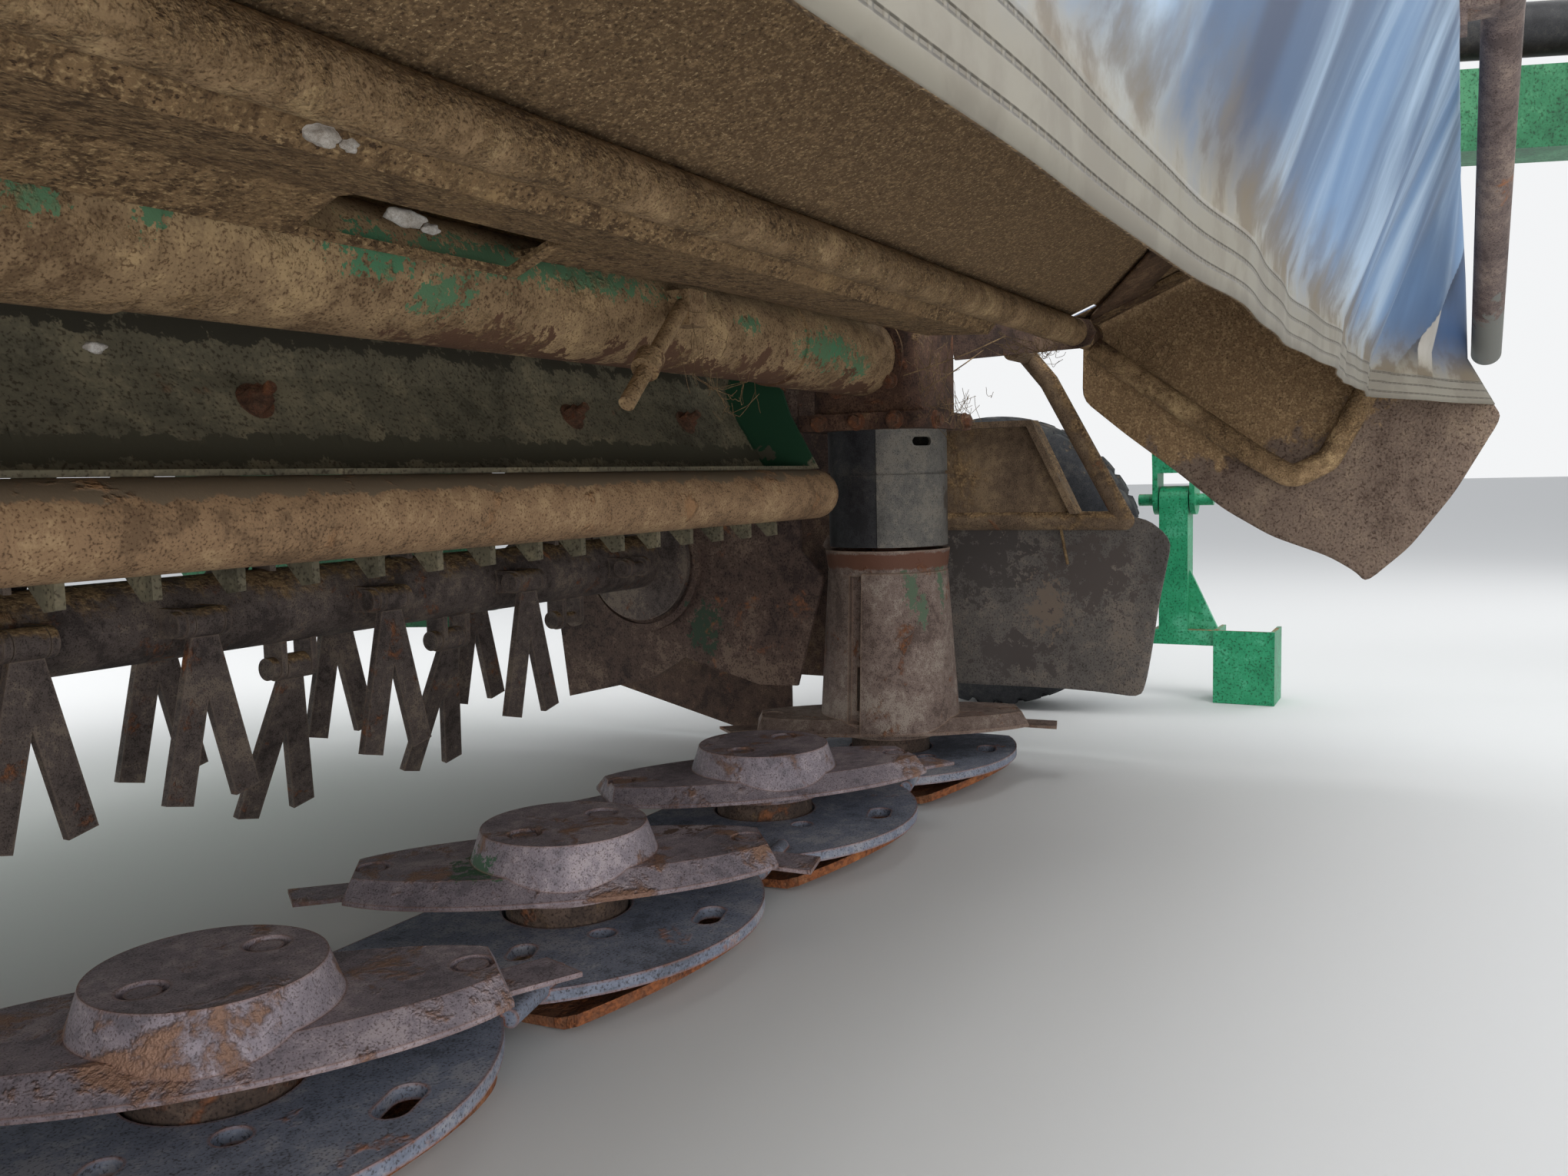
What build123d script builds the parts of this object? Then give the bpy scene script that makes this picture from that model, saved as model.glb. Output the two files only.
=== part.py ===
"""Trailed disc mower conditioner: seven disc cutterbar, rotor with hanging V tines, folding front
guard with curtains, two wheels on lift arms and a swinging drawbar on its parking stand.

Millimetres. +X is the machine's left end, -Y is forward, +Z is up. It is drawn from the ground
under the middle disc, and moved at the end so that the origin is under the middle of its box.
"""

from build123d import *
import os
from math import atan2, cos, degrees, hypot, radians, sin

# Cutterbar
DISC_COUNT = 7
CASE_HALF = 1340.0
END_MARGIN = 140.0
SHOE_THICK = 8.0
SHOE_WIDTH = 300.0
CASE_TOP = 34.0
CASE_FRONT = -60.0
CASE_REAR = 130.0
GUARD_PLATE_THICK = 12.0
GUARD_PLATE_R = 235.0
GUARD_PLATE_Y = 45.0
GUARD_PLATE_GAP = 8.0
BOSS_R = 60.0
BOSS_TOP = 66.0
SPINDLE_R = 22.0
RUNNING_FIT = 0.05
SEAT_GAP = 0.3

# Discs and drums
DISC_UNDER = 81.0
DISC_LENGTH = 410.0
DISC_WIDTH = 208.0
DISC_OVAL = 460.0
DISC_RIM = 4.0
DISC_DOME = 16.0
DISC_INSET = 29.0
CAP_BASE_R = 94.0
CAP_TOP_R = 81.0
CAP_HEIGHT = 29.0
CAP_BOLT_CIRCLE_R = 48.0
TURNTABLE_R = 78.0
TURNTABLE_GAP = 4.0
KNIFE_BOLT_R = 182.0
KNIFE_REACH = 80.0
KNIFE_WIDTH = 46.0
KNIFE_THICK = 4.0
DRUM_BASE_R = 105.0
DRUM_TOP_R = 89.0
DRUM_TOP = 320.0
DRUM_COLLAR = 33.0
TORN_AT = 138.0
DRUM_SHAFT_R = 20.0
DRUM_WALL = 22.0
SHELL_STEP = 8.0
SHELL_STARTS = (62.0, 242.0)
GROOVE_WIDTH = 24.0
GROOVE_DEPTH = 13.0
# Long axis of each disc from the right-hand end, and how far each of its two knives has swung back
DISC_TABLE = [  # (axis_deg, swing_1_deg, swing_2_deg)
    (-50.0, 12.0, -20.0),
    (-40.0, 25.0, 8.0),
    (-50.0, -10.0, 18.0),
    (-40.0, 14.0, -12.0),
    (-50.0, -36.0, 4.0),
    (-42.0, 10.0, 20.0),
    (-62.0, -24.0, 12.0),
]

# Cross tubes
BEAM_Z = 635.0
BEAM_R = 53.0
SLEEVE_WALL = 3.0
SLEEVES = ((-220.0, -38.0), (844.0, 1110.0), (-1110.0, -844.0))
CLAMP_X = (536.0, 570.0)
CROP_TUBE_Y = 60.0
CROP_TUBE_Z = 439.0
CROP_TUBE_R = 35.5

# Conditioner rotor and its housing
ROTOR_Y = 420.0
ROTOR_Z = 332.0
ROTOR_TUBE_R = 43.0
ROTOR_FLANGE_R = 97.0
RING_R = 116.0
ROTOR_FLANGE = 10.0
ROTOR_SHAFT_R = 20.0
HINGE_R = 72.0
LUG_GAP = 34.0
LUG_THICK = 8.0
LUG_WIDTH = 30.0
TINE_PIN_R = 8.0
TINE_LENGTH = 185.0
TINE_WIDTH = 30.0
TINE_THICK = 9.0
TINE_SPREAD = 44.0
PIN_HEAD_R = 13.0
# Each row of tines round the tube: where its lugs sit, how its tines hang, and its places in one half
ROW_TABLE = [  # (lug_deg, hang_deg, x_mm of each)
    (180.0, 0.0, (90.0, 269.0, 521.0, 770.0, 1024.0)),
    (270.0, 14.0, (30.0, 436.0, 694.0, 944.0)),
    (0.0, 0.0, (62.0, 315.0, 567.0, 822.0)),
    (90.0, 48.0, (133.0, 385.0, 637.0, 889.0)),
]
TINES_LOST_BEYOND = 895.0
WALL_THICK = 6.0
SHEET = 5.0
COMB_COUNT = 28
COMB_IN_RIGHT = 67.0
COMB_IN_LEFT = 31.0
COMB_THICK = 8.0

# Header end plates, crossbar and deck
END_THICK = 8.0
SHAFT_HOLE_R = 60.0
CROSSBAR = 100.0
CROSSBAR_WALL = 6.0
CROSSBAR_Y = 230.0
CROSSBAR_Z = 760.0
DECK_Z = 716.0
DECK_FRONT = -208.0
DECK_FOLD_Y = -112.0
DECK_FOLD_Z = 661.0
DECK_EDGE_Y = -63.0
DECK_EDGE_Z = 641.0
DECK_LIP_LOW = 656.0
# The edge's height from place to place along the machine, and its slots
DECK_EDGE_STEPS = (18.0, 29.0, 33.0)
DECK_SAG_END = 285.0
DECK_SAG_NEXT = 600.0
DECK_SLOTS = (-700.0, 52.0)
DECK_SLOT = 218.0

# Left end gearbox and its shaft cover
GEARBOX_HALF = 85.0
GEARBOX_LOW = 530.0
GEARBOX_TOP = 712.0
FLANGE_HALF = 104.0
FLANGE_THICK = 24.0
COVER_R = 92.0
COVER_STEP = 4.0
COVER_SPLIT = 194.0
COVER_WALL = 5.0
COVER_LOW = 358.0
COVER_SEAM = 467.0
COVER_SLIT = 0.8

# Folding front guard
HINGE_Y = -250.0
HINGE_Z = 673.0
HINGE_TUBE_R = 21.0
LOOP_R = 17.0
FRONT_Y = -735.0
FRONT_Z = 880.0
STRAP_WIDTH = 50.0
STRAP_THICK = 8.0
BUMPER_R = 19.0
BUMPER_Y = -797.0
BUMPER_Z = 905.0
BUMPER_END_Z = 615.0
CANVAS = 4.0
HEM_Y = -655.0
HEM_Z = 550.0
CURTAIN_PAST = 16.0

# End flaps on the header
FLAP_TUBE_R = 15.0
FLAP_TUBE_Z = 384.0
FLAP_THICK = 5.0

# Carrying frame, wheels and lift arms
CARRIER_Y = 560.0
CARRIER_Z = 930.0
CARRIER_TUBE = 140.0
CARRIER_WALL = 10.0
LEG_WIDTH = 60.0
ARM_PIVOT_Z = 620.0
ARM_PIN_R = 25.0
ARM_GAP = 8.0
ARM_THICK = 36.0
WHEEL_Y = 47.0
TYRE_R = 288.0
TYRE_WIDTH = 180.0
RIM_R = 165.0
AXLE_R = 20.0
CYL_TOP_Y = 500.0
CYL_TOP_Z = 960.0
CYL_EYE_Y = 262.0
CYL_EYE_Z = 532.0
BARREL_R = 34.0
ROD_R = 15.0
CYL_PIN_R = 14.0
CYL_EYE_HALF = 12.0

# Swath hood and doors
OUTLET_Y = 700.0
OUTLET_Z = 612.0
SWATH_REAR = 1420.0
DOOR_Y = 735.0
DOOR_LENGTH = 660.0
DOOR_LOW = 215.0
DOOR_HIGH = 586.0
DOOR_ANGLE = 12.0
DOOR_THICK = 5.0
DOOR_PIN_R = 12.0

# Drawbar, its swing pivot and the parking stand
PIVOT_Y = 408.0
PIVOT_PIN_R = 30.0
PIVOT_SEAT_Z = 1000.0
HUB_R = 72.0
HUB_LOW = 1006.0
DRAWBAR_ANGLE = 20.0
DRAWBAR_WIDTH = 120.0
DRAWBAR_HEIGHT = 140.0
DRAWBAR_WALL = 8.0
DRAWBAR_FLAT = 1500.0
DRAWBAR_LENGTH = 3300.0
HITCH_Z = 470.0
HITCH_BORE_R = 16.0
HITCH_GAP = 60.0
HITCH_EAR = 20.0
SWING_BASE_Y = 436.0
SWING_Z = 1062.0
SWING_EYE_SIDE = -96.0
SWING_EYE_AHEAD = 520.0
STAND_Y = -263.0
STAND_PIN_Z = 401.0
STAND_PIN_R = 12.0
STAND_TUBE = 56.0
STAND_FOOT_Z = 124.0
PTO_GUARD_R = 46.0

# Places along the machine, all from the half length of the cutterbar
DISC_PITCH = 2 * (CASE_HALF - END_MARGIN) / (DISC_COUNT - 1)
DISC_X = [(i - (DISC_COUNT - 1) / 2) * DISC_PITCH for i in range(DISC_COUNT)]
END_X = CASE_HALF
BEAM_HALF = END_X - 230
DECK_HALF = END_X - 245
WALL_X = END_X - 190
CROP_TUBE_HALF = WALL_X - 75
ROTOR_HALF = WALL_X - 15
DOOR_X = WALL_X - 32
FLAP_X = END_X + 104
LOOP_X = END_X + 78
CURTAIN_X = END_X + 112
HINGE_TUBE_HALF = END_X + 96
BUMPER_FLAT_HALF = END_X - 450
BUMPER_END_X = END_X + 151
CARRIER_HALF = END_X + 360
CYL_X = CARRIER_HALF + 62
WHEEL_X = CARRIER_HALF + 160
PIVOT_X = CARRIER_HALF - 60
SWING_BASE_X = PIVOT_X - 460
STAND_X = PIVOT_X + 410
# How much the places in the tables shrink or grow with the machine, as they were read at full size
TABLE_SCALE = CASE_HALF / 1340.0
DISC_TOP = DISC_UNDER + DISC_RIM + DISC_DOME
PLATE_TOP = CASE_TOP + GUARD_PLATE_THICK


def block(x0, x1, y0, y1, z0, z1):
    """A box between its corner coordinates."""
    centre = ((x0 + x1) / 2, (y0 + y1) / 2, (z0 + z1) / 2)
    return Pos(*centre) * Box(abs(x1 - x0), abs(y1 - y0), abs(z1 - z0))


def post(r, z0, z1, x=0.0, y=0.0):
    """An upright cylinder."""
    return Pos(x, y, (z0 + z1) / 2) * Cylinder(r, z1 - z0)


def taper(r0, r1, z0, z1, x=0.0, y=0.0):
    """An upright cone frustum, r0 at z0 and r1 at z1."""
    return Pos(x, y, (z0 + z1) / 2) * Cone(r0, r1, z1 - z0)


def cross(r, x0, x1, y, z):
    """A cylinder along X."""
    return Pos((x0 + x1) / 2, y, z) * Rot(0, 90, 0) * Cylinder(r, abs(x1 - x0))


def rod(start, end, r):
    """A round bar between two points."""
    run = Vector(*end) - Vector(*start)
    return extrude(Plane(origin=start, z_dir=run) * Circle(r), run.length)


def bent_tube(points, r, bend):
    """A round tube along straight runs with rounded bends."""
    path = FilletPolyline(*points, radius=bend)
    return sweep(Plane(origin=path @ 0, z_dir=path % 0) * Circle(r), path=path)


def side_profile(points, x0, x1):
    """An outline in the Y, Z plane, extruded from x0 to x1."""
    return extrude(Plane.YZ.offset(x0) * make_face(Polyline(*points, close=True)), x1 - x0)


def folded_sheet(points, thick):
    """Outline of a folded sheet: a line of points and its copy, thick to the left of it."""
    normals = []
    for (y0, z0), (y1, z1) in zip(points, points[1:]):
        run = hypot(y1 - y0, z1 - z0)
        normals.append(((z0 - z1) / run, (y1 - y0) / run))
    far = []
    for i, (y, z) in enumerate(points):
        before, after = normals[max(i - 1, 0)], normals[min(i, len(normals) - 1)]
        mitre = 1 + before[0] * after[0] + before[1] * after[1]
        far.append((y + thick * (before[0] + after[0]) / mitre, z + thick * (before[1] + after[1]) / mitre))
    return list(points) + far[::-1]


def both_ends(make):
    """A piece of the left-hand end and its mirror at the right-hand end, as two solids."""
    left = make()
    return Compound([left, mirror(left, about=Plane.YZ)])


def about(x, y, z, axis, angle, shape):
    """The shape turned about a line through a point."""
    return shape.rotate(Axis((x, y, z), axis), angle)


# Cutterbar: the long flat gear case with a bearing boss under each disc


def cutterbar():
    case = block(-CASE_HALF, CASE_HALF, CASE_FRONT, CASE_REAR, SHOE_THICK, CASE_TOP)
    case = chamfer(case.edges().filter_by(Axis.X).group_by(Axis.Z)[-1], 6)
    for x in DISC_X:
        case += post(BOSS_R, CASE_TOP - 1, BOSS_TOP, x)
    for x in DISC_X:
        case -= post(SPINDLE_R + RUNNING_FIT, CASE_TOP, BOSS_TOP + 1, x)
    return case


def stone_guards():
    half = DISC_PITCH / 2 - GUARD_PLATE_GAP / 2
    rear = CASE_REAR - 12
    plates = []
    for x in DISC_X:
        outline = Pos(x, GUARD_PLATE_Y) * Circle(GUARD_PLATE_R)
        outline &= Pos(x, (rear - GUARD_PLATE_R) / 2) * Rectangle(2 * half, rear + GUARD_PLATE_R)
        outline &= Rectangle(2 * (END_X - SEAT_GAP), 4 * GUARD_PLATE_R)
        outline -= Pos(x) * Circle(BOSS_R + 4)
        outline -= Pos(x + 36, -143) * Rot(0, 0, 18) * SlotOverall(50, 27)
        outline -= Pos(x - 47, -78) * Circle(13)
        outline -= Pos(x - 116, -40) * Rot(0, 0, 25) * SlotOverall(40, 24)
        plates.append(extrude(Plane.XY.offset(CASE_TOP) * outline, GUARD_PLATE_THICK))
    # a folded bar ties each plate to the next one near the front
    bars = [rod((x + 172, -122, PLATE_TOP - 1), (x + 264, -99, PLATE_TOP), 8) for x in DISC_X[:-1]]
    return plates[0].fuse(*plates[1:], *bars)


def skid_shoes():
    front = GUARD_PLATE_Y - GUARD_PLATE_R + 7
    # runs from under the stone guard's rim down to the flat sole and up behind the case
    sole = [(front, CASE_TOP), (front, CASE_TOP - 6), (-112, 2), (-70, 0), (CASE_REAR - 4, 0),
            (CASE_REAR + 26, 18), (CASE_REAR + 22, 26), (CASE_REAR + 1, SHOE_THICK),
            (CASE_FRONT - 2, SHOE_THICK), (-106, SHOE_THICK + 3), (front + 9, CASE_TOP)]
    inside = block(SEAT_GAP - END_X, END_X - SEAT_GAP, -400, 400, -1, CASE_TOP + 1)
    shoes = []
    for x in DISC_X:
        shoe = side_profile(sole, x - SHOE_WIDTH / 2, x + SHOE_WIDTH / 2)
        shoes.append(shoe & post(GUARD_PLATE_R - 7, -1, CASE_TOP + 1, x, GUARD_PLATE_Y) & inside)
    return Compound(shoes)


# Cutting discs: an oval dished plate on a turntable, a bolted cap and two swinging knives


def oval(length, width, cut, z):
    """The disc's outline, an ellipse with its two tips cut square."""
    return Plane.XY.offset(z) * (Ellipse(length / 2, width / 2) & Rectangle(cut, width + 2))


def knife(side, swing):
    """A knife hanging on its bolt under one tip of the disc."""
    low = DISC_UNDER - KNIFE_THICK
    half = KNIFE_WIDTH / 2
    outline = make_face(Polyline((-26, -half), (KNIFE_REACH, -half), (KNIFE_REACH - 9, half), (-26, half),
                                 close=True))
    blade = extrude(Plane.XY.offset(low) * outline, KNIFE_THICK)
    blade += post(11, low - 7, DISC_UNDER + 1)
    return Rot(0, 0, side) * Pos(KNIFE_BOLT_R) * Rot(0, 0, swing) * blade


def disc_plate(swings):
    rim = extrude(oval(DISC_OVAL, DISC_WIDTH, DISC_LENGTH, DISC_UNDER), DISC_RIM)
    dome = loft([
        oval(DISC_OVAL, DISC_WIDTH, DISC_LENGTH, DISC_UNDER + DISC_RIM),
        oval(DISC_OVAL - DISC_INSET, DISC_WIDTH - 2 * DISC_INSET, DISC_LENGTH - DISC_INSET / 2, DISC_TOP),
    ])
    plate = rim + dome + post(TURNTABLE_R, BOSS_TOP + TURNTABLE_GAP, DISC_UNDER + 1)
    plate += post(SPINDLE_R, CASE_TOP + 2, DISC_UNDER + 1)
    for side in (-1, 1):
        plate -= post(17, DISC_TOP - 6, DISC_TOP + 1, side * KNIFE_BOLT_R)
        plate += post(12, DISC_TOP - 7, DISC_TOP - 1, side * KNIFE_BOLT_R)
    return plate + knife(0, swings[0]) + knife(180, swings[1])


def plain_disc(swings):
    cap = taper(CAP_BASE_R + 2, CAP_TOP_R, DISC_UNDER + DISC_RIM + 2, DISC_TOP + CAP_HEIGHT)
    for side in (-1, 1):
        place = (side * CAP_BOLT_CIRCLE_R * 0.8, side * CAP_BOLT_CIRCLE_R * 0.6)
        cap -= post(17, DISC_TOP + CAP_HEIGHT - 9, DISC_TOP + CAP_HEIGHT + 1, *place)
        cap += post(12, DISC_TOP + CAP_HEIGHT - 10, DISC_TOP + CAP_HEIGHT - 2, *place)
    return disc_plate(swings) + cap


def drum_cone(swings):
    """The hollow tall cone over an end disc: two half shells, each standing proud where it starts."""
    low = DISC_UNDER + DISC_RIM
    proud = SHELL_STEP / 2
    lean = degrees(atan2(DRUM_BASE_R - DRUM_TOP_R, DRUM_TOP - low))
    middle = (DRUM_BASE_R + DRUM_TOP_R) / 2
    drum = disc_plate(swings)
    cone = None
    for turn in SHELL_STARTS:
        shell = Pos(proud) * taper(DRUM_BASE_R + proud, DRUM_TOP_R + proud, low, DRUM_TOP)
        shell = Rot(0, 0, turn) * (shell & block(-200, 200, 0, 200, low, DRUM_TOP))
        cone = shell if cone is None else cone + shell
    cone -= taper(DRUM_BASE_R - DRUM_WALL, DRUM_TOP_R - DRUM_WALL, DISC_TOP - 1, DRUM_TOP - 6)
    for turn in SHELL_STARTS:
        # the groove before each shell's edge, and the slit low down in it
        groove = Pos(20 - GROOVE_DEPTH, -GROOVE_WIDTH / 2) * Box(40, GROOVE_WIDTH, DRUM_TOP - low - 12)
        slit = Pos(0, -GROOVE_WIDTH / 2) * Box(60, 5, 66)
        up = (low + DRUM_TOP) / 2
        cone -= Rot(0, 0, turn) * Pos(middle, 0, up + 6) * Rot(0, -lean, 0) * groove
        cone -= Rot(0, 0, turn) * Pos(middle + 4, 0, DISC_TOP + 48) * Rot(0, -lean, 0) * slit
    return drum + cone


def driven_drum(swings):
    top = DRUM_TOP + DRUM_COLLAR
    collar = taper(DRUM_TOP_R + 1, DRUM_TOP_R + 6, DRUM_TOP - 4, top)
    collar -= post(DRUM_TOP_R - 4, top - 14, top + 1)
    # the collar's torn end, bent up and out
    torn = Pos(DRUM_TOP_R + 24, 0, top + 2) * Rot(0, -35, 0) * Box(26, 5, 20)
    torn += Pos(DRUM_TOP_R + 8, 0, top - 16) * Rot(0, -12, 0) * Box(26, 5, 24)
    collar += Rot(0, 0, TORN_AT) * torn
    return drum_cone(swings) + collar + post(DRUM_SHAFT_R, DISC_TOP - 4, GEARBOX_LOW + 20)


def hat_drum(swings):
    brim = taper(DRUM_TOP_R + 1, DRUM_TOP_R - 22, DRUM_TOP - 4, DRUM_TOP + 20)
    return drum_cone(swings) + brim


def discs():
    made = {}
    for i, (x, (axis, *swings)) in enumerate(zip(DISC_X, DISC_TABLE)):
        if i == 0:
            name, shape = "hat_drum", hat_drum(swings)
        elif i == DISC_COUNT - 1:
            name, shape = "driven_drum", driven_drum(swings)
        else:
            name, shape = f"disc_{i + 1}", plain_disc(swings)
        made[name] = Pos(x) * Rot(0, 0, axis) * shape
    return made


# Conditioner rotor: a tube with welded lugs, and a V tine hanging on the pin of each


def v_tine():
    """One tine, hanging down from its pin, which lies along X."""
    eye = cross(TINE_PIN_R + 7, -LUG_GAP / 2 + 1, LUG_GAP / 2 - 1, 0, 0)
    lean = degrees(atan2(TINE_SPREAD, TINE_LENGTH))
    leg = Box(TINE_WIDTH, TINE_THICK, TINE_LENGTH)
    legs = [Rot(0, side * lean, 0) * Pos(side * 3, 0, -TINE_LENGTH / 2) * leg for side in (-1, 1)]
    return eye + legs[0] + legs[1]


def lug_pair():
    """Two lugs standing up from the tube, with the tine's pin through them."""
    height = HINGE_R - ROTOR_TUBE_R + 10
    outer = LUG_GAP / 2 + LUG_THICK
    made = cross(TINE_PIN_R, -outer - 3, outer + 3, 0, HINGE_R)
    made += cross(PIN_HEAD_R, -outer - 10, -outer + 1, 0, HINGE_R)
    for side in (-1, 1):
        middle = side * (LUG_GAP + LUG_THICK) / 2
        made += Pos(middle, 0, HINGE_R - height / 2) * Box(LUG_THICK, LUG_WIDTH, height)
        made += cross(LUG_WIDTH / 2, middle - LUG_THICK / 2, middle + LUG_THICK / 2, 0, HINGE_R)
    return made


def rotor():
    body = cross(ROTOR_TUBE_R, -ROTOR_HALF, ROTOR_HALF, 0, 0)
    body += cross(ROTOR_SHAFT_R, -WALL_X - 30, WALL_X + 30, 0, 0)
    for side in (-1, 1):
        body += cross(ROTOR_FLANGE_R, side * ROTOR_HALF, side * (ROTOR_HALF + ROTOR_FLANGE), 0, 0)
    pieces = []
    lugs, tine = lug_pair(), v_tine()
    for lug_deg, hang, places in ROW_TABLE:
        up = (HINGE_R * cos(radians(lug_deg)), HINGE_R * sin(radians(lug_deg)))
        for x in [side * place * TABLE_SCALE for side in (-1, 1) for place in places]:
            pieces.append(Pos(x) * Rot(lug_deg - 90, 0, 0) * lugs)
            if x < TINES_LOST_BEYOND * TABLE_SCALE:
                pieces.append(Pos(x, up[0], up[1]) * Rot(hang, 0, 0) * tine)
    return Pos(0, ROTOR_Y, ROTOR_Z) * body.fuse(*pieces)


# Cross tubes of the header


def main_beam():
    tube = cross(BEAM_R, -BEAM_HALF, BEAM_HALF, 0, BEAM_Z)
    for x0, x1 in SLEEVES:
        tube += cross(BEAM_R + SLEEVE_WALL, x0 * TABLE_SCALE, x1 * TABLE_SCALE, 0, BEAM_Z)
    # tensioning rod in its clamp on the front of the beam
    tube += block(*CLAMP_X, -BEAM_R - 24, -BEAM_R + 16, BEAM_Z - 14, BEAM_Z + 22)
    tube += rod((545, -66, BEAM_Z + 10), (406, -88, BEAM_Z - 100), 8)
    return tube + rod((462, -79, BEAM_Z - 52), (446, -82, BEAM_Z - 66), 14)


def crop_tube():
    tube = cross(CROP_TUBE_R, -CROP_TUBE_HALF, CROP_TUBE_HALF, CROP_TUBE_Y, CROP_TUBE_Z)
    for side in (-1, 1):
        tube += Pos(side * CROP_TUBE_HALF, CROP_TUBE_Y, CROP_TUBE_Z) * Sphere(CROP_TUBE_R)
    return tube


def conditioner_hood():
    seat = CROP_TUBE_Z + CROP_TUBE_R + SEAT_GAP
    knee = (190, 565)
    front = [(CROP_TUBE_Y - 2, seat), (CROP_TUBE_Y + 74, seat + 1), knee]
    rear = [knee, (220, 644), (300, 690), (520, 684), (600, OUTLET_Z + 20), (640, OUTLET_Z),
            (OUTLET_Y, OUTLET_Z)]
    half = CROP_TUBE_HALF - 10
    hood = side_profile(folded_sheet(front + rear[1:], SHEET), -half, half)
    for side in (-1, 1):
        wing = sorted((side * half, side * WALL_X))
        hood += side_profile(folded_sheet(rear, SHEET), *wing)
        # the closing plate that stands forward at each end of the sheet
        gusset = [(CROP_TUBE_Y - 14, seat + 1), (90, 554), (102, 590), (160, 640), (214, 650), knee,
                  (CROP_TUBE_Y + 76, seat + 1)]
        hood += side_profile(gusset, *sorted((side * half, side * (half - SHEET))))
    # the comb: upright teeth side by side along the crop tube
    comb_start = COMB_IN_RIGHT - CROP_TUBE_HALF
    comb_pitch = (2 * CROP_TUBE_HALF - COMB_IN_RIGHT - COMB_IN_LEFT) / (COMB_COUNT - 1)
    tooth = [(108, seat + 3), (108, 381), (122, 379), (162, 420), (150, 460), (150, seat + 40),
             (134, seat + 3)]
    for k in range(COMB_COUNT):
        x = comb_start + k * comb_pitch
        hood += side_profile(tooth, x - COMB_THICK / 2, x + COMB_THICK / 2)
    return hood


def side_walls():
    outline = [(124, 520), (124, 350), (88, 312), (88, 300), (135, 140), (203, 138), (341, 175), (406, 137),
               (582, 96), (600, 250), (OUTLET_Y, 500), (OUTLET_Y, 640), (560, 702), (200, 702), (124, 634)]
    def wall():
        plate = side_profile(outline, WALL_X, WALL_X + WALL_THICK)
        plate += cross(60, WALL_X + WALL_THICK - 1, WALL_X + 26, ROTOR_Y, ROTOR_Z)
        # what is left of the ring round the rotor's end
        ring = cross(RING_R, WALL_X - 9, WALL_X + 1, ROTOR_Y, ROTOR_Z)
        ring -= cross(RING_R - 12, WALL_X - 10, WALL_X + 2, ROTOR_Y, ROTOR_Z)
        plate += ring - block(WALL_X - 10, WALL_X, ROTOR_Y - 40, ROTOR_Y + 60, ROTOR_Z + 60, ROTOR_Z + 130)
        return plate - cross(ROTOR_SHAFT_R + RUNNING_FIT, WALL_X - 1, WALL_X + 40, ROTOR_Y, ROTOR_Z)
    return both_ends(wall)


# Header ends: plates that join cutterbar, crossbar and the guard's hinge


def end_plates():
    arm_low = HINGE_Z - 25
    crossbar_top = CROSSBAR_Z + CROSSBAR / 2 + 2
    outline = [(CASE_FRONT, SHOE_THICK), (300, SHOE_THICK), (640, 90), (OUTLET_Y, 420), (640, crossbar_top),
               (CROSSBAR_Y - CROSSBAR / 2, crossbar_top), (120, 750), (-180, DECK_Z - 2),
               (HINGE_Y + 12, HINGE_Z + 25), (HINGE_Y - 24, HINGE_Z + 16),
               (HINGE_Y - 33, HINGE_Z), (HINGE_Y - 24, HINGE_Z - 20), (HINGE_Y - 6, arm_low), (62, 640),
               (112, 560),
               (112, 124), (250, 124), (250, 62), (CASE_FRONT, 62)]
    def plate():
        made = side_profile(outline, END_X, END_X + END_THICK)
        # a spacer carries the conditioner's wall on the end plate
        made += block(WALL_X + WALL_THICK, END_X + 1, 600, 660, 520, 580)
        made += block(WALL_X + WALL_THICK, END_X + 1, 300, 360, 640, 700)
        made -= cross(SHAFT_HOLE_R, END_X - 1, END_X + END_THICK + 1, 0, BEAM_Z)
        return made - cross(HINGE_TUBE_R + RUNNING_FIT, END_X - 1, END_X + END_THICK + 1, HINGE_Y, HINGE_Z)
    return both_ends(plate)


def header_crossbar():
    half = CROSSBAR / 2
    bar = block(-END_X, END_X, CROSSBAR_Y - half, CROSSBAR_Y + half, CROSSBAR_Z - half, CROSSBAR_Z + half)
    inner = half - CROSSBAR_WALL
    bar -= block(-END_X, END_X, CROSSBAR_Y - inner, CROSSBAR_Y + inner, CROSSBAR_Z - inner,
                 CROSSBAR_Z + inner)
    # brackets down to the beam ends
    for side in (-1, 1):
        x0, x1 = side * (DISC_X[-1] - 40), side * (DISC_X[-1] + 40)
        bar += block(x0, x1, -60, CROSSBAR_Y - half + 1, GEARBOX_TOP + SEAT_GAP, GEARBOX_TOP + 28)
    return bar


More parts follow.
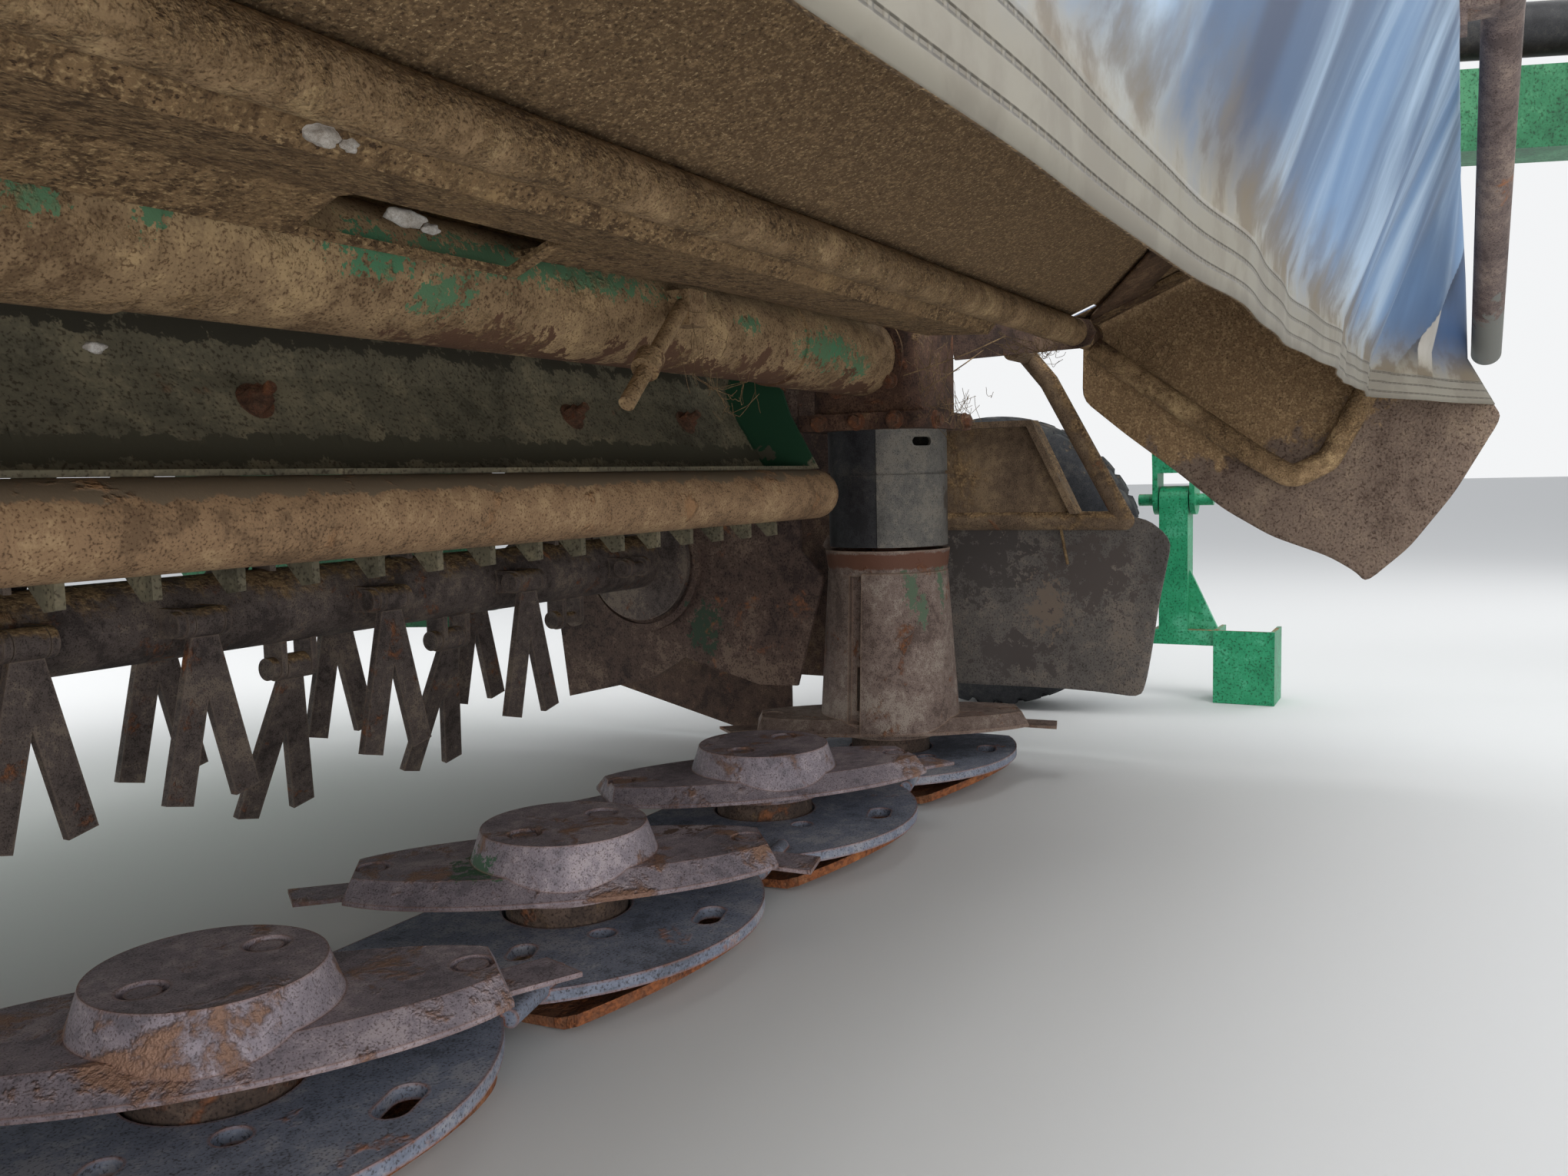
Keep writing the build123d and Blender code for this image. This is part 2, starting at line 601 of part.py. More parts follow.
def deck_sheet():
    """The sheet from the crossbar forward to a rounded lip behind the hinge, and back to the beam."""
    def section(x, edge_z):
        line = [(CROSSBAR_Y - CROSSBAR / 2, DECK_Z), (DECK_FRONT + 22, DECK_Z), (DECK_FRONT + 5, DECK_Z - 7),
                (DECK_FRONT, DECK_Z - 24), (DECK_FRONT, DECK_LIP_LOW + 12), (DECK_FRONT + 10, DECK_LIP_LOW),
                (DECK_FOLD_Y, DECK_FOLD_Z), (DECK_EDGE_Y, edge_z)]
        return Plane.YZ.offset(x) * make_face(Polyline(*folded_sheet(line, -SHEET), close=True))
    low, middle, high = (DECK_EDGE_Z + step for step in DECK_EDGE_STEPS)
    sheet = loft([section(-DECK_HALF, DECK_EDGE_Z), section(DECK_SAG_END, DECK_EDGE_Z)], ruled=True)
    sheet += loft([section(DECK_SAG_END, low), section(DECK_SAG_NEXT, middle)], ruled=True)
    sheet += loft([section(DECK_SAG_NEXT, middle), section(DECK_HALF, high)], ruled=True)
    # a slot in the hanging edge, with what is left of the edge as a thin strip under it
    for x in DECK_SLOTS:
        over = DECK_FOLD_Z + 16
        sheet -= block(x, x + DECK_SLOT, DECK_FOLD_Y - 16, DECK_EDGE_Y - 6, DECK_EDGE_Z - 20, over)
        sheet -= block(x, x + DECK_SLOT, DECK_EDGE_Y - 7, DECK_EDGE_Y + 12, DECK_EDGE_Z + 5, over)
    return sheet


# Left end gearbox over the driven drum, and the bracket at the beam's other end


def gearbox():
    x = DISC_X[-1]
    half = GEARBOX_HALF
    box = block(x - half, x + half, -half, half, GEARBOX_LOW + FLANGE_THICK, GEARBOX_TOP)
    box = fillet(box.edges().filter_by(Axis.Z), 22)
    box = chamfer(box.faces().sort_by(Axis.Z)[-1].edges(), 8)
    wide = FLANGE_HALF
    flange = block(x - wide, x + wide, -wide, wide, GEARBOX_LOW, GEARBOX_LOW + FLANGE_THICK)
    box += fillet(flange.edges().filter_by(Axis.Z), 18)
    box += cross(BEAM_R + 14, BEAM_HALF, x - half + 1, 0, BEAM_Z)
    box += cross(46, x + half - 1, x + half + 34, 0, BEAM_Z)
    return box - post(DRUM_SHAFT_R + RUNNING_FIT, GEARBOX_LOW - 1, GEARBOX_LOW + 24, x)


def beam_bracket():
    x = DISC_X[0]
    half = GEARBOX_HALF
    box = block(x - half, x + half, -half + 15, half - 15, BEAM_Z - 62, GEARBOX_TOP)
    box = chamfer(box.edges().filter_by(Axis.Y), 14)
    box += cross(30, x - half - 49, x - half + 1, 0, BEAM_Z)
    return box + cross(BEAM_R + 8, x + half - 1, -BEAM_HALF, 0, BEAM_Z)


def shaft_cover():
    """Two half shells round the drum's shaft; the one towards the middle of the machine sits deeper."""
    x = DISC_X[-1]
    def shell(r, z0, z1):
        return post(r, z0, z1) - post(r - COVER_WALL, z0 - 1, z1 + 1)
    def half(set_back):
        made = shell(COVER_R - set_back, COVER_LOW, COVER_SEAM - 3)
        made += shell(COVER_R - set_back - 3, COVER_SEAM - 4, COVER_SEAM + 3)
        made += shell(COVER_R - set_back, COVER_SEAM + 2, GEARBOX_LOW)
        return made
    front = half(0) - block(-200, 200, -COVER_SLIT, 200, COVER_LOW - 1, GEARBOX_LOW + 1)
    # an oblong hole in the upper ring
    hole = extrude(SlotOverall(34, 13, rotation=90), 30, both=True)
    front -= Pos(-COVER_R * 0.7, -COVER_R * 0.7, GEARBOX_LOW - 18) * Rot(0, 0, 45) * Rot(0, 90, 0) * hole
    back = half(COVER_STEP) - block(-200, 200, -200, 0, COVER_LOW - 1, GEARBOX_LOW + 1)
    split = COVER_SPLIT - 180
    return Pos(x) * Rot(0, 0, split) * Compound([front, back])


def transfer_shaft():
    """Cardan shaft in its ribbed guard cone, from the swivel gearbox to the end gearbox."""
    start = Vector(DISC_X[-1] + GEARBOX_HALF + 34 + SEAT_GAP, 0, BEAM_Z)
    elbow = start + Vector(70, 0, 0)
    end = Vector(PIVOT_X, PIVOT_Y - 62 - 34 - SEAT_GAP, 800)
    run = end - elbow
    plane = Plane(origin=elbow, z_dir=run)
    length = run.length
    made = cross(26, start.X, elbow.X + 20, 0, BEAM_Z)
    made += extrude(plane.offset(-20) * Circle(30), length)
    # each rib of the guard: where it starts along the shaft and its radius
    for k in range(6):
        made += extrude(plane.offset(60 + 24 * k) * Circle(74 - 5 * k), 13)
        made += extrude(plane.offset(50 + 24 * k) * Circle(64 - 5 * k), 26)
    made += Pos(*end) * Sphere(34)
    return made


# Folding front guard: hinge tube, side loops, straps, front tube and the bumper rail


def loop_tube(x):
    points = [(x, HINGE_Y - 12, HINGE_Z - 20), (x, -500, 478), (x, -552, 446), (x, -600, 470),
              (x, -652, 572),
              (x, FRONT_Y, FRONT_Z - 6)]
    return bent_tube(points, LOOP_R, 26)


def guard_slope(lift, past):
    """A straight line over the hinge tube and the front tube, lift above both and past the front one."""
    dy, dz = FRONT_Y - HINGE_Y, FRONT_Z - HINGE_Z
    run = hypot(dy, dz)
    along, up = (dy / run, dz / run), (dz / run, -dy / run)
    low, high = HINGE_TUBE_R + lift, LOOP_R + lift
    return ((HINGE_Y + up[0] * low, HINGE_Z + up[1] * low),
            (FRONT_Y + up[0] * high + along[0] * past, FRONT_Z + up[1] * high + along[1] * past))


def guard_frame():
    frame = cross(HINGE_TUBE_R, -HINGE_TUBE_HALF, HINGE_TUBE_HALF, HINGE_Y, HINGE_Z)
    frame += cross(LOOP_R, -LOOP_X - 20, LOOP_X + 20, FRONT_Y, FRONT_Z)
    for side in (-1, 1):
        frame += loop_tube(side * LOOP_X)
    low, high = guard_slope(-3, 0)
    for x in (-LOOP_X + 12, LOOP_X - 12):
        strap = folded_sheet([low, high], STRAP_THICK)
        frame += side_profile(strap, x - STRAP_WIDTH / 2, x + STRAP_WIDTH / 2)
    return frame


def bumper():
    ends = (BUMPER_END_X, BUMPER_Y, BUMPER_END_Z)
    knee = (BUMPER_FLAT_HALF, BUMPER_Y, BUMPER_Z)
    points = [(-ends[0], *ends[1:]), (-knee[0], *knee[1:]), knee, ends]
    rail = bent_tube(points, BUMPER_R, 90)
    for x in (-BUMPER_FLAT_HALF + 70, 0, BUMPER_FLAT_HALF - 70):
        rail += block(x - 20, x + 20, BUMPER_Y + 4, FRONT_Y - LOOP_R - SEAT_GAP, BUMPER_Z - 26,
                      BUMPER_Z - 16)
        rail += block(x - 20, x + 20, BUMPER_Y + 30, FRONT_Y - LOOP_R - SEAT_GAP, BUMPER_Z - 40,
                      BUMPER_Z - 18)
    return rail


def top_canvas():
    outline = folded_sheet(guard_slope(SEAT_GAP, CURTAIN_PAST), -CANVAS)
    sheet = side_profile(outline, -CURTAIN_X, CURTAIN_X)
    # room for the hinge plates when the guard folds up
    for side in (-1, 1):
        sheet -= block(side * (END_X - 14), side * (END_X + END_THICK + 14), HINGE_Y - 46, HINGE_Y + 20,
                       690, 780)
    return sheet


def front_curtain():
    top = FRONT_Y - LOOP_R - CANVAS - SEAT_GAP
    lean = [(top, FRONT_Z + LOOP_R - 6), (top - 1, FRONT_Z - 30), (-706, 720), (HEM_Y - 6, 600),
            (HEM_Y - 4, HEM_Z)]
    flare = [lean[0], lean[1], (-766, 720), (-771, 606), (-808, HEM_Z - 10)]
    inner = CURTAIN_X - 200
    edges = [Plane.YZ.offset(x) * make_face(Polyline(*folded_sheet(line, CANVAS), close=True))
             for x, line in ((-CURTAIN_X, flare), (-inner, lean), (inner, lean), (CURTAIN_X, flare))]
    sheet = loft(edges, ruled=True)
    # cut back where the bumper's brackets come through
    for x in (-BUMPER_FLAT_HALF + 70, 0, BUMPER_FLAT_HALF - 70):
        sheet -= block(x - 24, x + 24, -800, -700, BUMPER_Z - 44, BUMPER_Z + 20)
    return sheet


def side_curtains():
    front = FRONT_Y - LOOP_R - CANVAS
    outline = [(HINGE_Y + 18, HINGE_Z + 4), (HINGE_Y + 18, HINGE_Z + 34), (front, FRONT_Z + 18),
               (front - 4, 850),
               (-766, 720), (-771, 606), (-808, HEM_Z - 10), (-818, 532), (-760, 420), (-700, 340),
               (-643, 296),
               (-520, 352), (-380, 463), (-300, 520), (-232, 577)]
    x = CURTAIN_X + SEAT_GAP
    return both_ends(lambda: side_profile(outline, x, x + CANVAS))


# End flaps: a tube frame on each end plate with a thick hanging rubber flap


def flap_frames():
    x = FLAP_X - FLAP_TUBE_R - SEAT_GAP
    root = END_X + END_THICK
    stays = [(-150, 650), (150, FLAP_TUBE_Z)]
    def frame():
        made = cross(FLAP_TUBE_R - 2, root, x, stays[0][0], stays[0][1])
        made += cross(FLAP_TUBE_R - 2, root, x, stays[1][0], stays[1][1])
        made += rod((x, 164, FLAP_TUBE_Z), (x, -306, FLAP_TUBE_Z), FLAP_TUBE_R)
        made += Pos(x, -306, FLAP_TUBE_Z) * Sphere(FLAP_TUBE_R)
        made += rod((x, -306, FLAP_TUBE_Z), (x, -186, 606), FLAP_TUBE_R)
        made += Pos(x, -186, 606) * Sphere(FLAP_TUBE_R)
        made += rod((x, -186, 606), (x, *stays[0]), FLAP_TUBE_R)
        made += Pos(x, *stays[0]) * Sphere(FLAP_TUBE_R)
        # bent flat bar over a panel behind the drum
        bar = [(60, 536), (-158, 536), (-228, 396), (-238, 396), (-166, 546), (60, 546)]
        made += side_profile(bar, x - 34, x + 6)
        made += side_profile([(60, 540), (-160, 540), (-232, 390), (60, 390)], x - 4, x + 2)
        return made
    return both_ends(frame)


def end_flaps():
    top = FLAP_TUBE_Z + 8
    outline = [(110, top), (-300, top), (-366, 366), (-378, 350), (-340, 112), (-322, 104), (110, 106)]
    return both_ends(lambda: side_profile(outline, FLAP_X, FLAP_X + FLAP_THICK))


# Carrying frame over the header, with the pivots of the lift arms and the drawbar


def carrier_frame():
    half = CARRIER_TUBE / 2
    inner = half - CARRIER_WALL
    beam = block(-CARRIER_HALF, CARRIER_HALF, CARRIER_Y - half, CARRIER_Y + half, CARRIER_Z - half,
                 CARRIER_Z + half)
    beam -= block(-CARRIER_HALF - 1, CARRIER_HALF + 1, CARRIER_Y - inner, CARRIER_Y + inner,
                  CARRIER_Z - inner, CARRIER_Z + inner)
    for side in (-1, 1):
        outer = side * CARRIER_HALF
        leg = block(outer, outer - side * LEG_WIDTH, CARRIER_Y - 50, CARRIER_Y + 50, ARM_PIVOT_Z - 60,
                    CARRIER_Z)
        beam += leg
        beam += cross(ARM_PIN_R, outer, outer + side * (ARM_GAP + ARM_THICK + 8), CARRIER_Y, ARM_PIVOT_Z)
        # ear for the lift cylinder's upper pin
        low, high = CYL_TOP_Z - 22, CYL_TOP_Z + 22
        beam += block(outer - side * 30, outer, CYL_TOP_Y - 22, CARRIER_Y - half + 10, low, high)
        beam += cross(CYL_PIN_R, outer - side * 10, side * (CYL_X + CYL_EYE_HALF + 5), CYL_TOP_Y, CYL_TOP_Z)
        # suspension links down to the header crossbar
        for x in (side * 560 * TABLE_SCALE, side * 1000 * TABLE_SCALE):
            crossbar_rear = CROSSBAR_Y + CROSSBAR / 2
            link = [(crossbar_rear, 730), (crossbar_rear, 800), (CARRIER_Y - half, 960),
                    (CARRIER_Y - half, 880)]
            beam += side_profile(link, x - 12, x + 12)
            beam += block(x - 60, x + 60, CARRIER_Y - half - 10, CARRIER_Y - half, 870, 970)
    # bracket and pin for the drawbar's swing pivot
    beam += block(PIVOT_X - 70, PIVOT_X + 60, PIVOT_Y - 74, CARRIER_Y - half + 1, PIVOT_SEAT_Z - 60,
                  PIVOT_SEAT_Z)
    beam += post(PIVOT_PIN_R, PIVOT_SEAT_Z - 1, HUB_LOW + DRAWBAR_HEIGHT + 10, PIVOT_X, PIVOT_Y)
    beam += post(PIVOT_PIN_R + 18, PIVOT_SEAT_Z - 1, HUB_LOW - 1, PIVOT_X, PIVOT_Y)
    # ear and pin for the swing cylinder's barrel
    beam += block(SWING_BASE_X - 40, SWING_BASE_X + 40, SWING_BASE_Y - 34, CARRIER_Y - half + 1, 940, 1000)
    beam += post(14, 999, SWING_Z + 40, SWING_BASE_X, SWING_BASE_Y)
    return beam


def swivel_gearbox():
    low = PIVOT_SEAT_Z - 60 - SEAT_GAP
    box = post(60, 760, low, PIVOT_X, PIVOT_Y)
    return box + block(PIVOT_X - 62, PIVOT_X + 62, PIVOT_Y - 62, PIVOT_Y + 62, 740, 860)


def belt_guard():
    """Cover of the belt drive from the cross shaft to the rotor, at the right-hand end."""
    x0, x1 = -END_X - END_THICK, -END_X - END_THICK - 42
    made = cross(82, x0, x1, 0, BEAM_Z) + cross(112, x0, x1, ROTOR_Y, ROTOR_Z)
    angle = atan2(ROTOR_Z - BEAM_Z, ROTOR_Y)
    up = (-sin(angle), cos(angle))
    ends = [(0, BEAM_Z, 82), (ROTOR_Y, ROTOR_Z, 112)]
    upper = [(y + up[0] * r, z + up[1] * r) for y, z, r in ends]
    lower = [(y - up[0] * r, z - up[1] * r) for y, z, r in ends]
    made += side_profile(upper + lower[::-1], x1, x0)
    return made


# Wheels and lift arms


def lift_arm(side):
    x0 = side * (CARRIER_HALF + ARM_GAP)
    x1 = x0 + side * ARM_THICK
    arm = cross(58, x0, x1, CARRIER_Y, ARM_PIVOT_Z) + cross(46, x0, x1, WHEEL_Y, TYRE_R)
    angle = atan2(TYRE_R - ARM_PIVOT_Z, WHEEL_Y - CARRIER_Y)
    up = (-sin(angle), cos(angle))
    ends = [(CARRIER_Y, ARM_PIVOT_Z, 50), (WHEEL_Y, TYRE_R, 40)]
    upper = [(y + up[0] * r, z + up[1] * r) for y, z, r in ends]
    lower = [(y - up[0] * r, z - up[1] * r) for y, z, r in ends]
    arm += side_profile(upper + lower[::-1], min(x0, x1), max(x0, x1))
    # ear for the lift cylinder's lower pin
    ear = [(CYL_EYE_Y - 50, 420), (CYL_EYE_Y + 70, 480), (CYL_EYE_Y + 22, CYL_EYE_Z - 18),
           (CYL_EYE_Y, CYL_EYE_Z - 12),
           (CYL_EYE_Y - 22, CYL_EYE_Z - 18)]
    arm += side_profile(ear, min(x0, x1), max(x0, x1))
    arm += cross(26, x0, x1, CYL_EYE_Y, CYL_EYE_Z)
    arm += cross(AXLE_R, x1 - side, side * (WHEEL_X + TYRE_WIDTH / 2 - 30), WHEEL_Y, TYRE_R)
    return arm - cross(ARM_PIN_R + RUNNING_FIT, x0 - side, x1 + side, CARRIER_Y, ARM_PIVOT_Z)


def wheel_profile(points, side):
    """Revolves an outline given as (across, radius) about the axle."""
    outline = make_face(Polyline(*[(x * side, r) for x, r in points], close=True))
    return Pos(side * WHEEL_X, WHEEL_Y, TYRE_R) * revolve(outline, Axis.X)


def tyre(side):
    half = TYRE_WIDTH / 2
    flank = [(half - 22, RIM_R + 4), (half - 6, RIM_R + 26), (half, RIM_R + 62), (half - 8, TYRE_R - 26),
             (half - 26, TYRE_R - 5), (half - 60, TYRE_R)]
    inner = [(half - 34, RIM_R + 0.0), (-half + 34, RIM_R + 0.0)]
    outer = [(-x, r) for x, r in flank]
    return wheel_profile(flank + outer[::-1] + inner[::-1], side)


def rim(side):
    half = TYRE_WIDTH / 2
    barrel = [(-half + 20, RIM_R - 12), (-half + 20, RIM_R + 0.0), (half - 20, RIM_R + 0.0),
              (half - 20, RIM_R - 12),
              (half - 40, RIM_R - 14), (half - 52, RIM_R - 40), (half - 52, 70), (half - 40, 52),
              (half - 28, 40),
              (half - 28, AXLE_R + RUNNING_FIT), (half - 110, AXLE_R + RUNNING_FIT), (half - 110, 40),
              (half - 62, 52), (half - 62, RIM_R - 46), (-half + 34, RIM_R - 20)]
    return wheel_profile(barrel, side)


def cylinder_line():
    """Direction and length of a lift cylinder from its upper pin to its rod's eye."""
    dy, dz = CYL_EYE_Y - CYL_TOP_Y, CYL_EYE_Z - CYL_TOP_Z
    length = hypot(dy, dz)
    return (dy / length, dz / length), length


def lift_barrel(side):
    (dy, dz), length = cylinder_line()
    x0, x1 = side * (CYL_X - CYL_EYE_HALF), side * (CYL_X + CYL_EYE_HALF)
    at = lambda s: (side * CYL_X, CYL_TOP_Y + dy * s, CYL_TOP_Z + dz * s)
    made = cross(26, x0, x1, CYL_TOP_Y, CYL_TOP_Z) + rod(at(20), at(300), BARREL_R)
    made -= cross(CYL_PIN_R + RUNNING_FIT, x0 - side * 40, x1 + side * 40, CYL_TOP_Y, CYL_TOP_Z)
    return made - rod(at(60), at(301), ROD_R + RUNNING_FIT)


def lift_rod(side):
    (dy, dz), length = cylinder_line()
    x0, x1 = side * (CYL_X - CYL_EYE_HALF), side * (CYL_X + CYL_EYE_HALF)
    at = lambda s: (side * CYL_X, CYL_TOP_Y + dy * s, CYL_TOP_Z + dz * s)
    return rod(at(90), at(length - 8), ROD_R) + cross(24, x0, x1, CYL_EYE_Y, CYL_EYE_Z)


# Rear: the swath hood and its two doors


def swath_hood():
    high = OUTLET_Z - SHEET - SEAT_GAP
    line = [(OUTLET_Y - 50, high), (OUTLET_Y + 40, high), (SWATH_REAR - 60, high - 8),
            (SWATH_REAR, high - 34)]
    half = WALL_X - SEAT_GAP
    hood = side_profile(folded_sheet(line, SHEET), -half, half)
    for side in (-1, 1):
        flank = [(OUTLET_Y - 40, high), (OUTLET_Y + 40, high), (SWATH_REAR - 70, high - 8),
                 (SWATH_REAR - 70, high - 90), (OUTLET_Y - 40, high - 90)]
        hood += side_profile(flank, *sorted((side * half, side * (half - SHEET))))
        hood += post(DOOR_PIN_R, DOOR_LOW + 40, high + 1, side * DOOR_X, DOOR_Y)
    return hood


def swath_door(side):
    x0, x1 = DOOR_X - DOOR_THICK / 2, DOOR_X + DOOR_THICK / 2
    outline = [(DOOR_Y + 22, DOOR_LOW), (DOOR_Y + DOOR_LENGTH - 90, DOOR_LOW - 10),
               (DOOR_Y + DOOR_LENGTH, DOOR_LOW + 120), (DOOR_Y + DOOR_LENGTH - 20, DOOR_HIGH - 60),
               (DOOR_Y + 22, DOOR_HIGH - 4)]
    door = side_profile(outline, x0, x1)
    door += post(DOOR_PIN_R + 8, DOOR_LOW + 30, DOOR_HIGH - 40, DOOR_X, DOOR_Y)
    door += block(x0, x1, DOOR_Y, DOOR_Y + 24, DOOR_LOW + 60, DOOR_HIGH - 50)
    door -= post(DOOR_PIN_R + RUNNING_FIT, DOOR_LOW + 39, DOOR_HIGH, DOOR_X, DOOR_Y)
    door = about(DOOR_X, DOOR_Y, 0, (0, 0, 1), DOOR_ANGLE, door)
    return door if side > 0 else mirror(door, about=Plane.YZ)


# Drawbar, laid out straight ahead of its pivot and then swung to its working angle


def swung(shape):
    """Places a piece drawn with the pivot at the origin and the hitch along -Y."""
    return Pos(PIVOT_X, PIVOT_Y) * Rot(0, 0, DRAWBAR_ANGLE) * shape


def drawbar():
    half = DRAWBAR_WIDTH / 2
    top = HUB_LOW + DRAWBAR_HEIGHT
    line_low = [(-50, HUB_LOW), (-DRAWBAR_FLAT, HUB_LOW), (-DRAWBAR_LENGTH + 80, HITCH_Z - 45)]
    line_top = [(-DRAWBAR_LENGTH + 80, HITCH_Z + 45), (-DRAWBAR_FLAT - 20, top), (-50, top)]
    bar = side_profile(line_low + line_top, -half, half)
    wall = DRAWBAR_WALL
    hub_rear = -HUB_R - 20
    hollow_low = [(hub_rear, HUB_LOW + wall), (-DRAWBAR_FLAT, HUB_LOW + wall),
                  (-DRAWBAR_LENGTH, HITCH_Z - 45)]
    hollow_top = [(-DRAWBAR_LENGTH, HITCH_Z + 28), (-DRAWBAR_FLAT - 20, top - wall), (hub_rear, top - wall)]
    bar -= side_profile(hollow_low + hollow_top, -half + wall, half - wall)
    bar += post(HUB_R, HUB_LOW, top)
    bar -= post(PIVOT_PIN_R + RUNNING_FIT, HUB_LOW - 1, top + 1)
    # clevis at the hitch
    for z0 in (HITCH_Z + HITCH_GAP / 2, HITCH_Z - HITCH_GAP / 2 - HITCH_EAR):
        z1 = z0 + HITCH_EAR
        ear = block(-45, 45, -DRAWBAR_LENGTH, -DRAWBAR_LENGTH + 100, z0, z1)
        ear += post(45, z0, z1, 0, -DRAWBAR_LENGTH)
        bar += ear - post(HITCH_BORE_R, z0 - 1, z1 + 1, 0, -DRAWBAR_LENGTH)
    bar += block(-50, 50, -DRAWBAR_LENGTH + 70, -DRAWBAR_LENGTH + 100, HITCH_Z - 50, HITCH_Z + 50)
    # ear for the swing cylinder's eye
    back, front = -SWING_EYE_AHEAD + 30, -SWING_EYE_AHEAD - 30
    bar += block(SWING_EYE_SIDE - 26, -half + 1, front, back, HUB_LOW + 2, HUB_LOW + 18)
    bar += post(12, HUB_LOW + 17, SWING_Z - 20, SWING_EYE_SIDE, -SWING_EYE_AHEAD)
    return swung(bar)


def stand_bracket():
    """Tapered plate that carries the parking stand's clevis beside the drawbar."""
    dx, dy = STAND_X - PIVOT_X, STAND_Y - PIVOT_Y
    turn = radians(-DRAWBAR_ANGLE)
    side = dx * cos(turn) - dy * sin(turn)
    ahead = dx * sin(turn) + dy * cos(turn)
    arm = swung(block(DRAWBAR_WIDTH / 2, side + 40, ahead - 50, ahead + 50, HUB_LOW, HUB_LOW + 60))
    top = HUB_LOW + 2
    clevis = STAND_PIN_Z + STAND_TUBE / 2 + 26
    inner = STAND_TUBE / 2 + 3
    outer = inner + 10
    plate = side_profile([(STAND_Y + outer + 14, top), (STAND_Y + outer, clevis), (STAND_Y - outer, clevis),
                          (STAND_Y - outer - 50, top)], STAND_X - 30, STAND_X + 30)
    made = arm + plate
    for y0, y1 in ((STAND_Y + inner, STAND_Y + outer), (STAND_Y - outer, STAND_Y - inner)):
        made += block(STAND_X - 30, STAND_X + 30, y0, y1, STAND_PIN_Z, clevis + 2)
        made += Pos(STAND_X, (y0 + y1) / 2, STAND_PIN_Z) * Rot(90, 0, 0) * Cylinder(30, y1 - y0)
    pin = Pos(STAND_X, STAND_Y, STAND_PIN_Z) * Rot(90, 0, 0) * Cylinder(STAND_PIN_R, 146)
    return made + pin


def parking_stand():
    half = STAND_TUBE / 2
    leg = block(STAND_X - half, STAND_X + half, STAND_Y - half, STAND_Y + half, STAND_FOOT_Z + 2,
                STAND_PIN_Z)
    leg += Pos(STAND_X, STAND_Y, STAND_PIN_Z) * Rot(90, 0, 0) * Cylinder(half, STAND_TUBE)
    # base bar, gusset and the channel shaped foot
    foot_y = STAND_Y - 84
    bar_top = STAND_FOOT_Z + 16
    leg += block(STAND_X - half, STAND_X + half, foot_y, STAND_Y + half + 12, STAND_FOOT_Z - 14, bar_top)
    gusset = [(STAND_Y - half + 1, 262), (foot_y, bar_top), (STAND_Y - half + 1, bar_top - 2)]
    leg += side_profile(gusset, STAND_X - 5, STAND_X + 5)
    foot = block(STAND_X - 52, STAND_X + 52, foot_y - 112, foot_y + 2, 0, STAND_FOOT_Z + 20)
    foot -= block(STAND_X - 46, STAND_X + 60, foot_y - 104, foot_y - 6, -1, STAND_FOOT_Z + 21)
    bore = Rot(90, 0, 0) * Cylinder(STAND_PIN_R + RUNNING_FIT, STAND_TUBE + 4)
    return leg + foot - Pos(STAND_X, STAND_Y, STAND_PIN_Z) * bore


def pto_guard():
    """Power take-off shaft guard along the top of the drawbar, with its gearbox over the pivot."""
    top = HUB_LOW + DRAWBAR_HEIGHT
    lift = top + 86
    made = block(-66, 66, -80, 60, top + 22, top + 150)
    made = chamfer(made.edges().filter_by(Axis.Z), 20)
    made += block(-40, 40, -92, 50, top + 12, top + 30)
    made += block(-40, 40, -92, -HUB_R, top + SEAT_GAP, top + 18)
    made += rod((0, -70, lift), (0, -DRAWBAR_FLAT - 60, lift - 10), PTO_GUARD_R)
    made += rod((0, -DRAWBAR_FLAT - 60, lift - 10), (0, -DRAWBAR_LENGTH - 160, HITCH_Z + 150), PTO_GUARD_R)
    made += Pos(0, -DRAWBAR_FLAT - 60, lift - 10) * Sphere(PTO_GUARD_R + 6)
    for s in (0, 40, 80):
        made += rod((0, -100 - s, lift), (0, -124 - s, lift), 78 - s / 8)
        made += rod((0, -DRAWBAR_LENGTH - 60 - s, HITCH_Z + 176 - s * 0.26),
                    (0, -DRAWBAR_LENGTH - 84 - s, HITCH_Z + 170 - s * 0.26), 60 + s / 6)
    # saddles that carry the guard on the drawbar
    made += block(-30, 30, -1160, -1120, top + SEAT_GAP, lift)
    slope = (HITCH_Z + 45 - top) / (DRAWBAR_FLAT + 20 - DRAWBAR_LENGTH + 80)
    y0, y1 = 580 - DRAWBAR_LENGTH, 540 - DRAWBAR_LENGTH
    foot = [top + slope * (y + DRAWBAR_FLAT + 20) + 1 for y in (y0, y1)]
    made += side_profile([(y0, foot[0]), (y1, foot[1]), (y1, foot[1] + 130), (y0, foot[0] + 130)], -20, 20)
    return swung(made)


def swing_eye():
    """Where the swing cylinder's rod eye meets the drawbar."""
    turn = radians(DRAWBAR_ANGLE)
    side, ahead = SWING_EYE_SIDE, -SWING_EYE_AHEAD
    return (PIVOT_X + side * cos(turn) - ahead * sin(turn), PIVOT_Y + side * sin(turn) + ahead * cos(turn))


def swing_line():
    eye = swing_eye()
    dx, dy = eye[0] - SWING_BASE_X, eye[1] - SWING_BASE_Y
    length = hypot(dx, dy)
    return (dx / length, dy / length), length


def swing_barrel():
    (dx, dy), length = swing_line()
    at = lambda s: (SWING_BASE_X + dx * s, SWING_BASE_Y + dy * s, SWING_Z)
    made = post(26, SWING_Z - 20, SWING_Z + 20, SWING_BASE_X, SWING_BASE_Y) + rod(at(16), at(470), 32)
    made -= post(14 + RUNNING_FIT, SWING_Z - 40, SWING_Z + 40, SWING_BASE_X, SWING_BASE_Y)
    return made - rod(at(60), at(471), ROD_R + RUNNING_FIT)


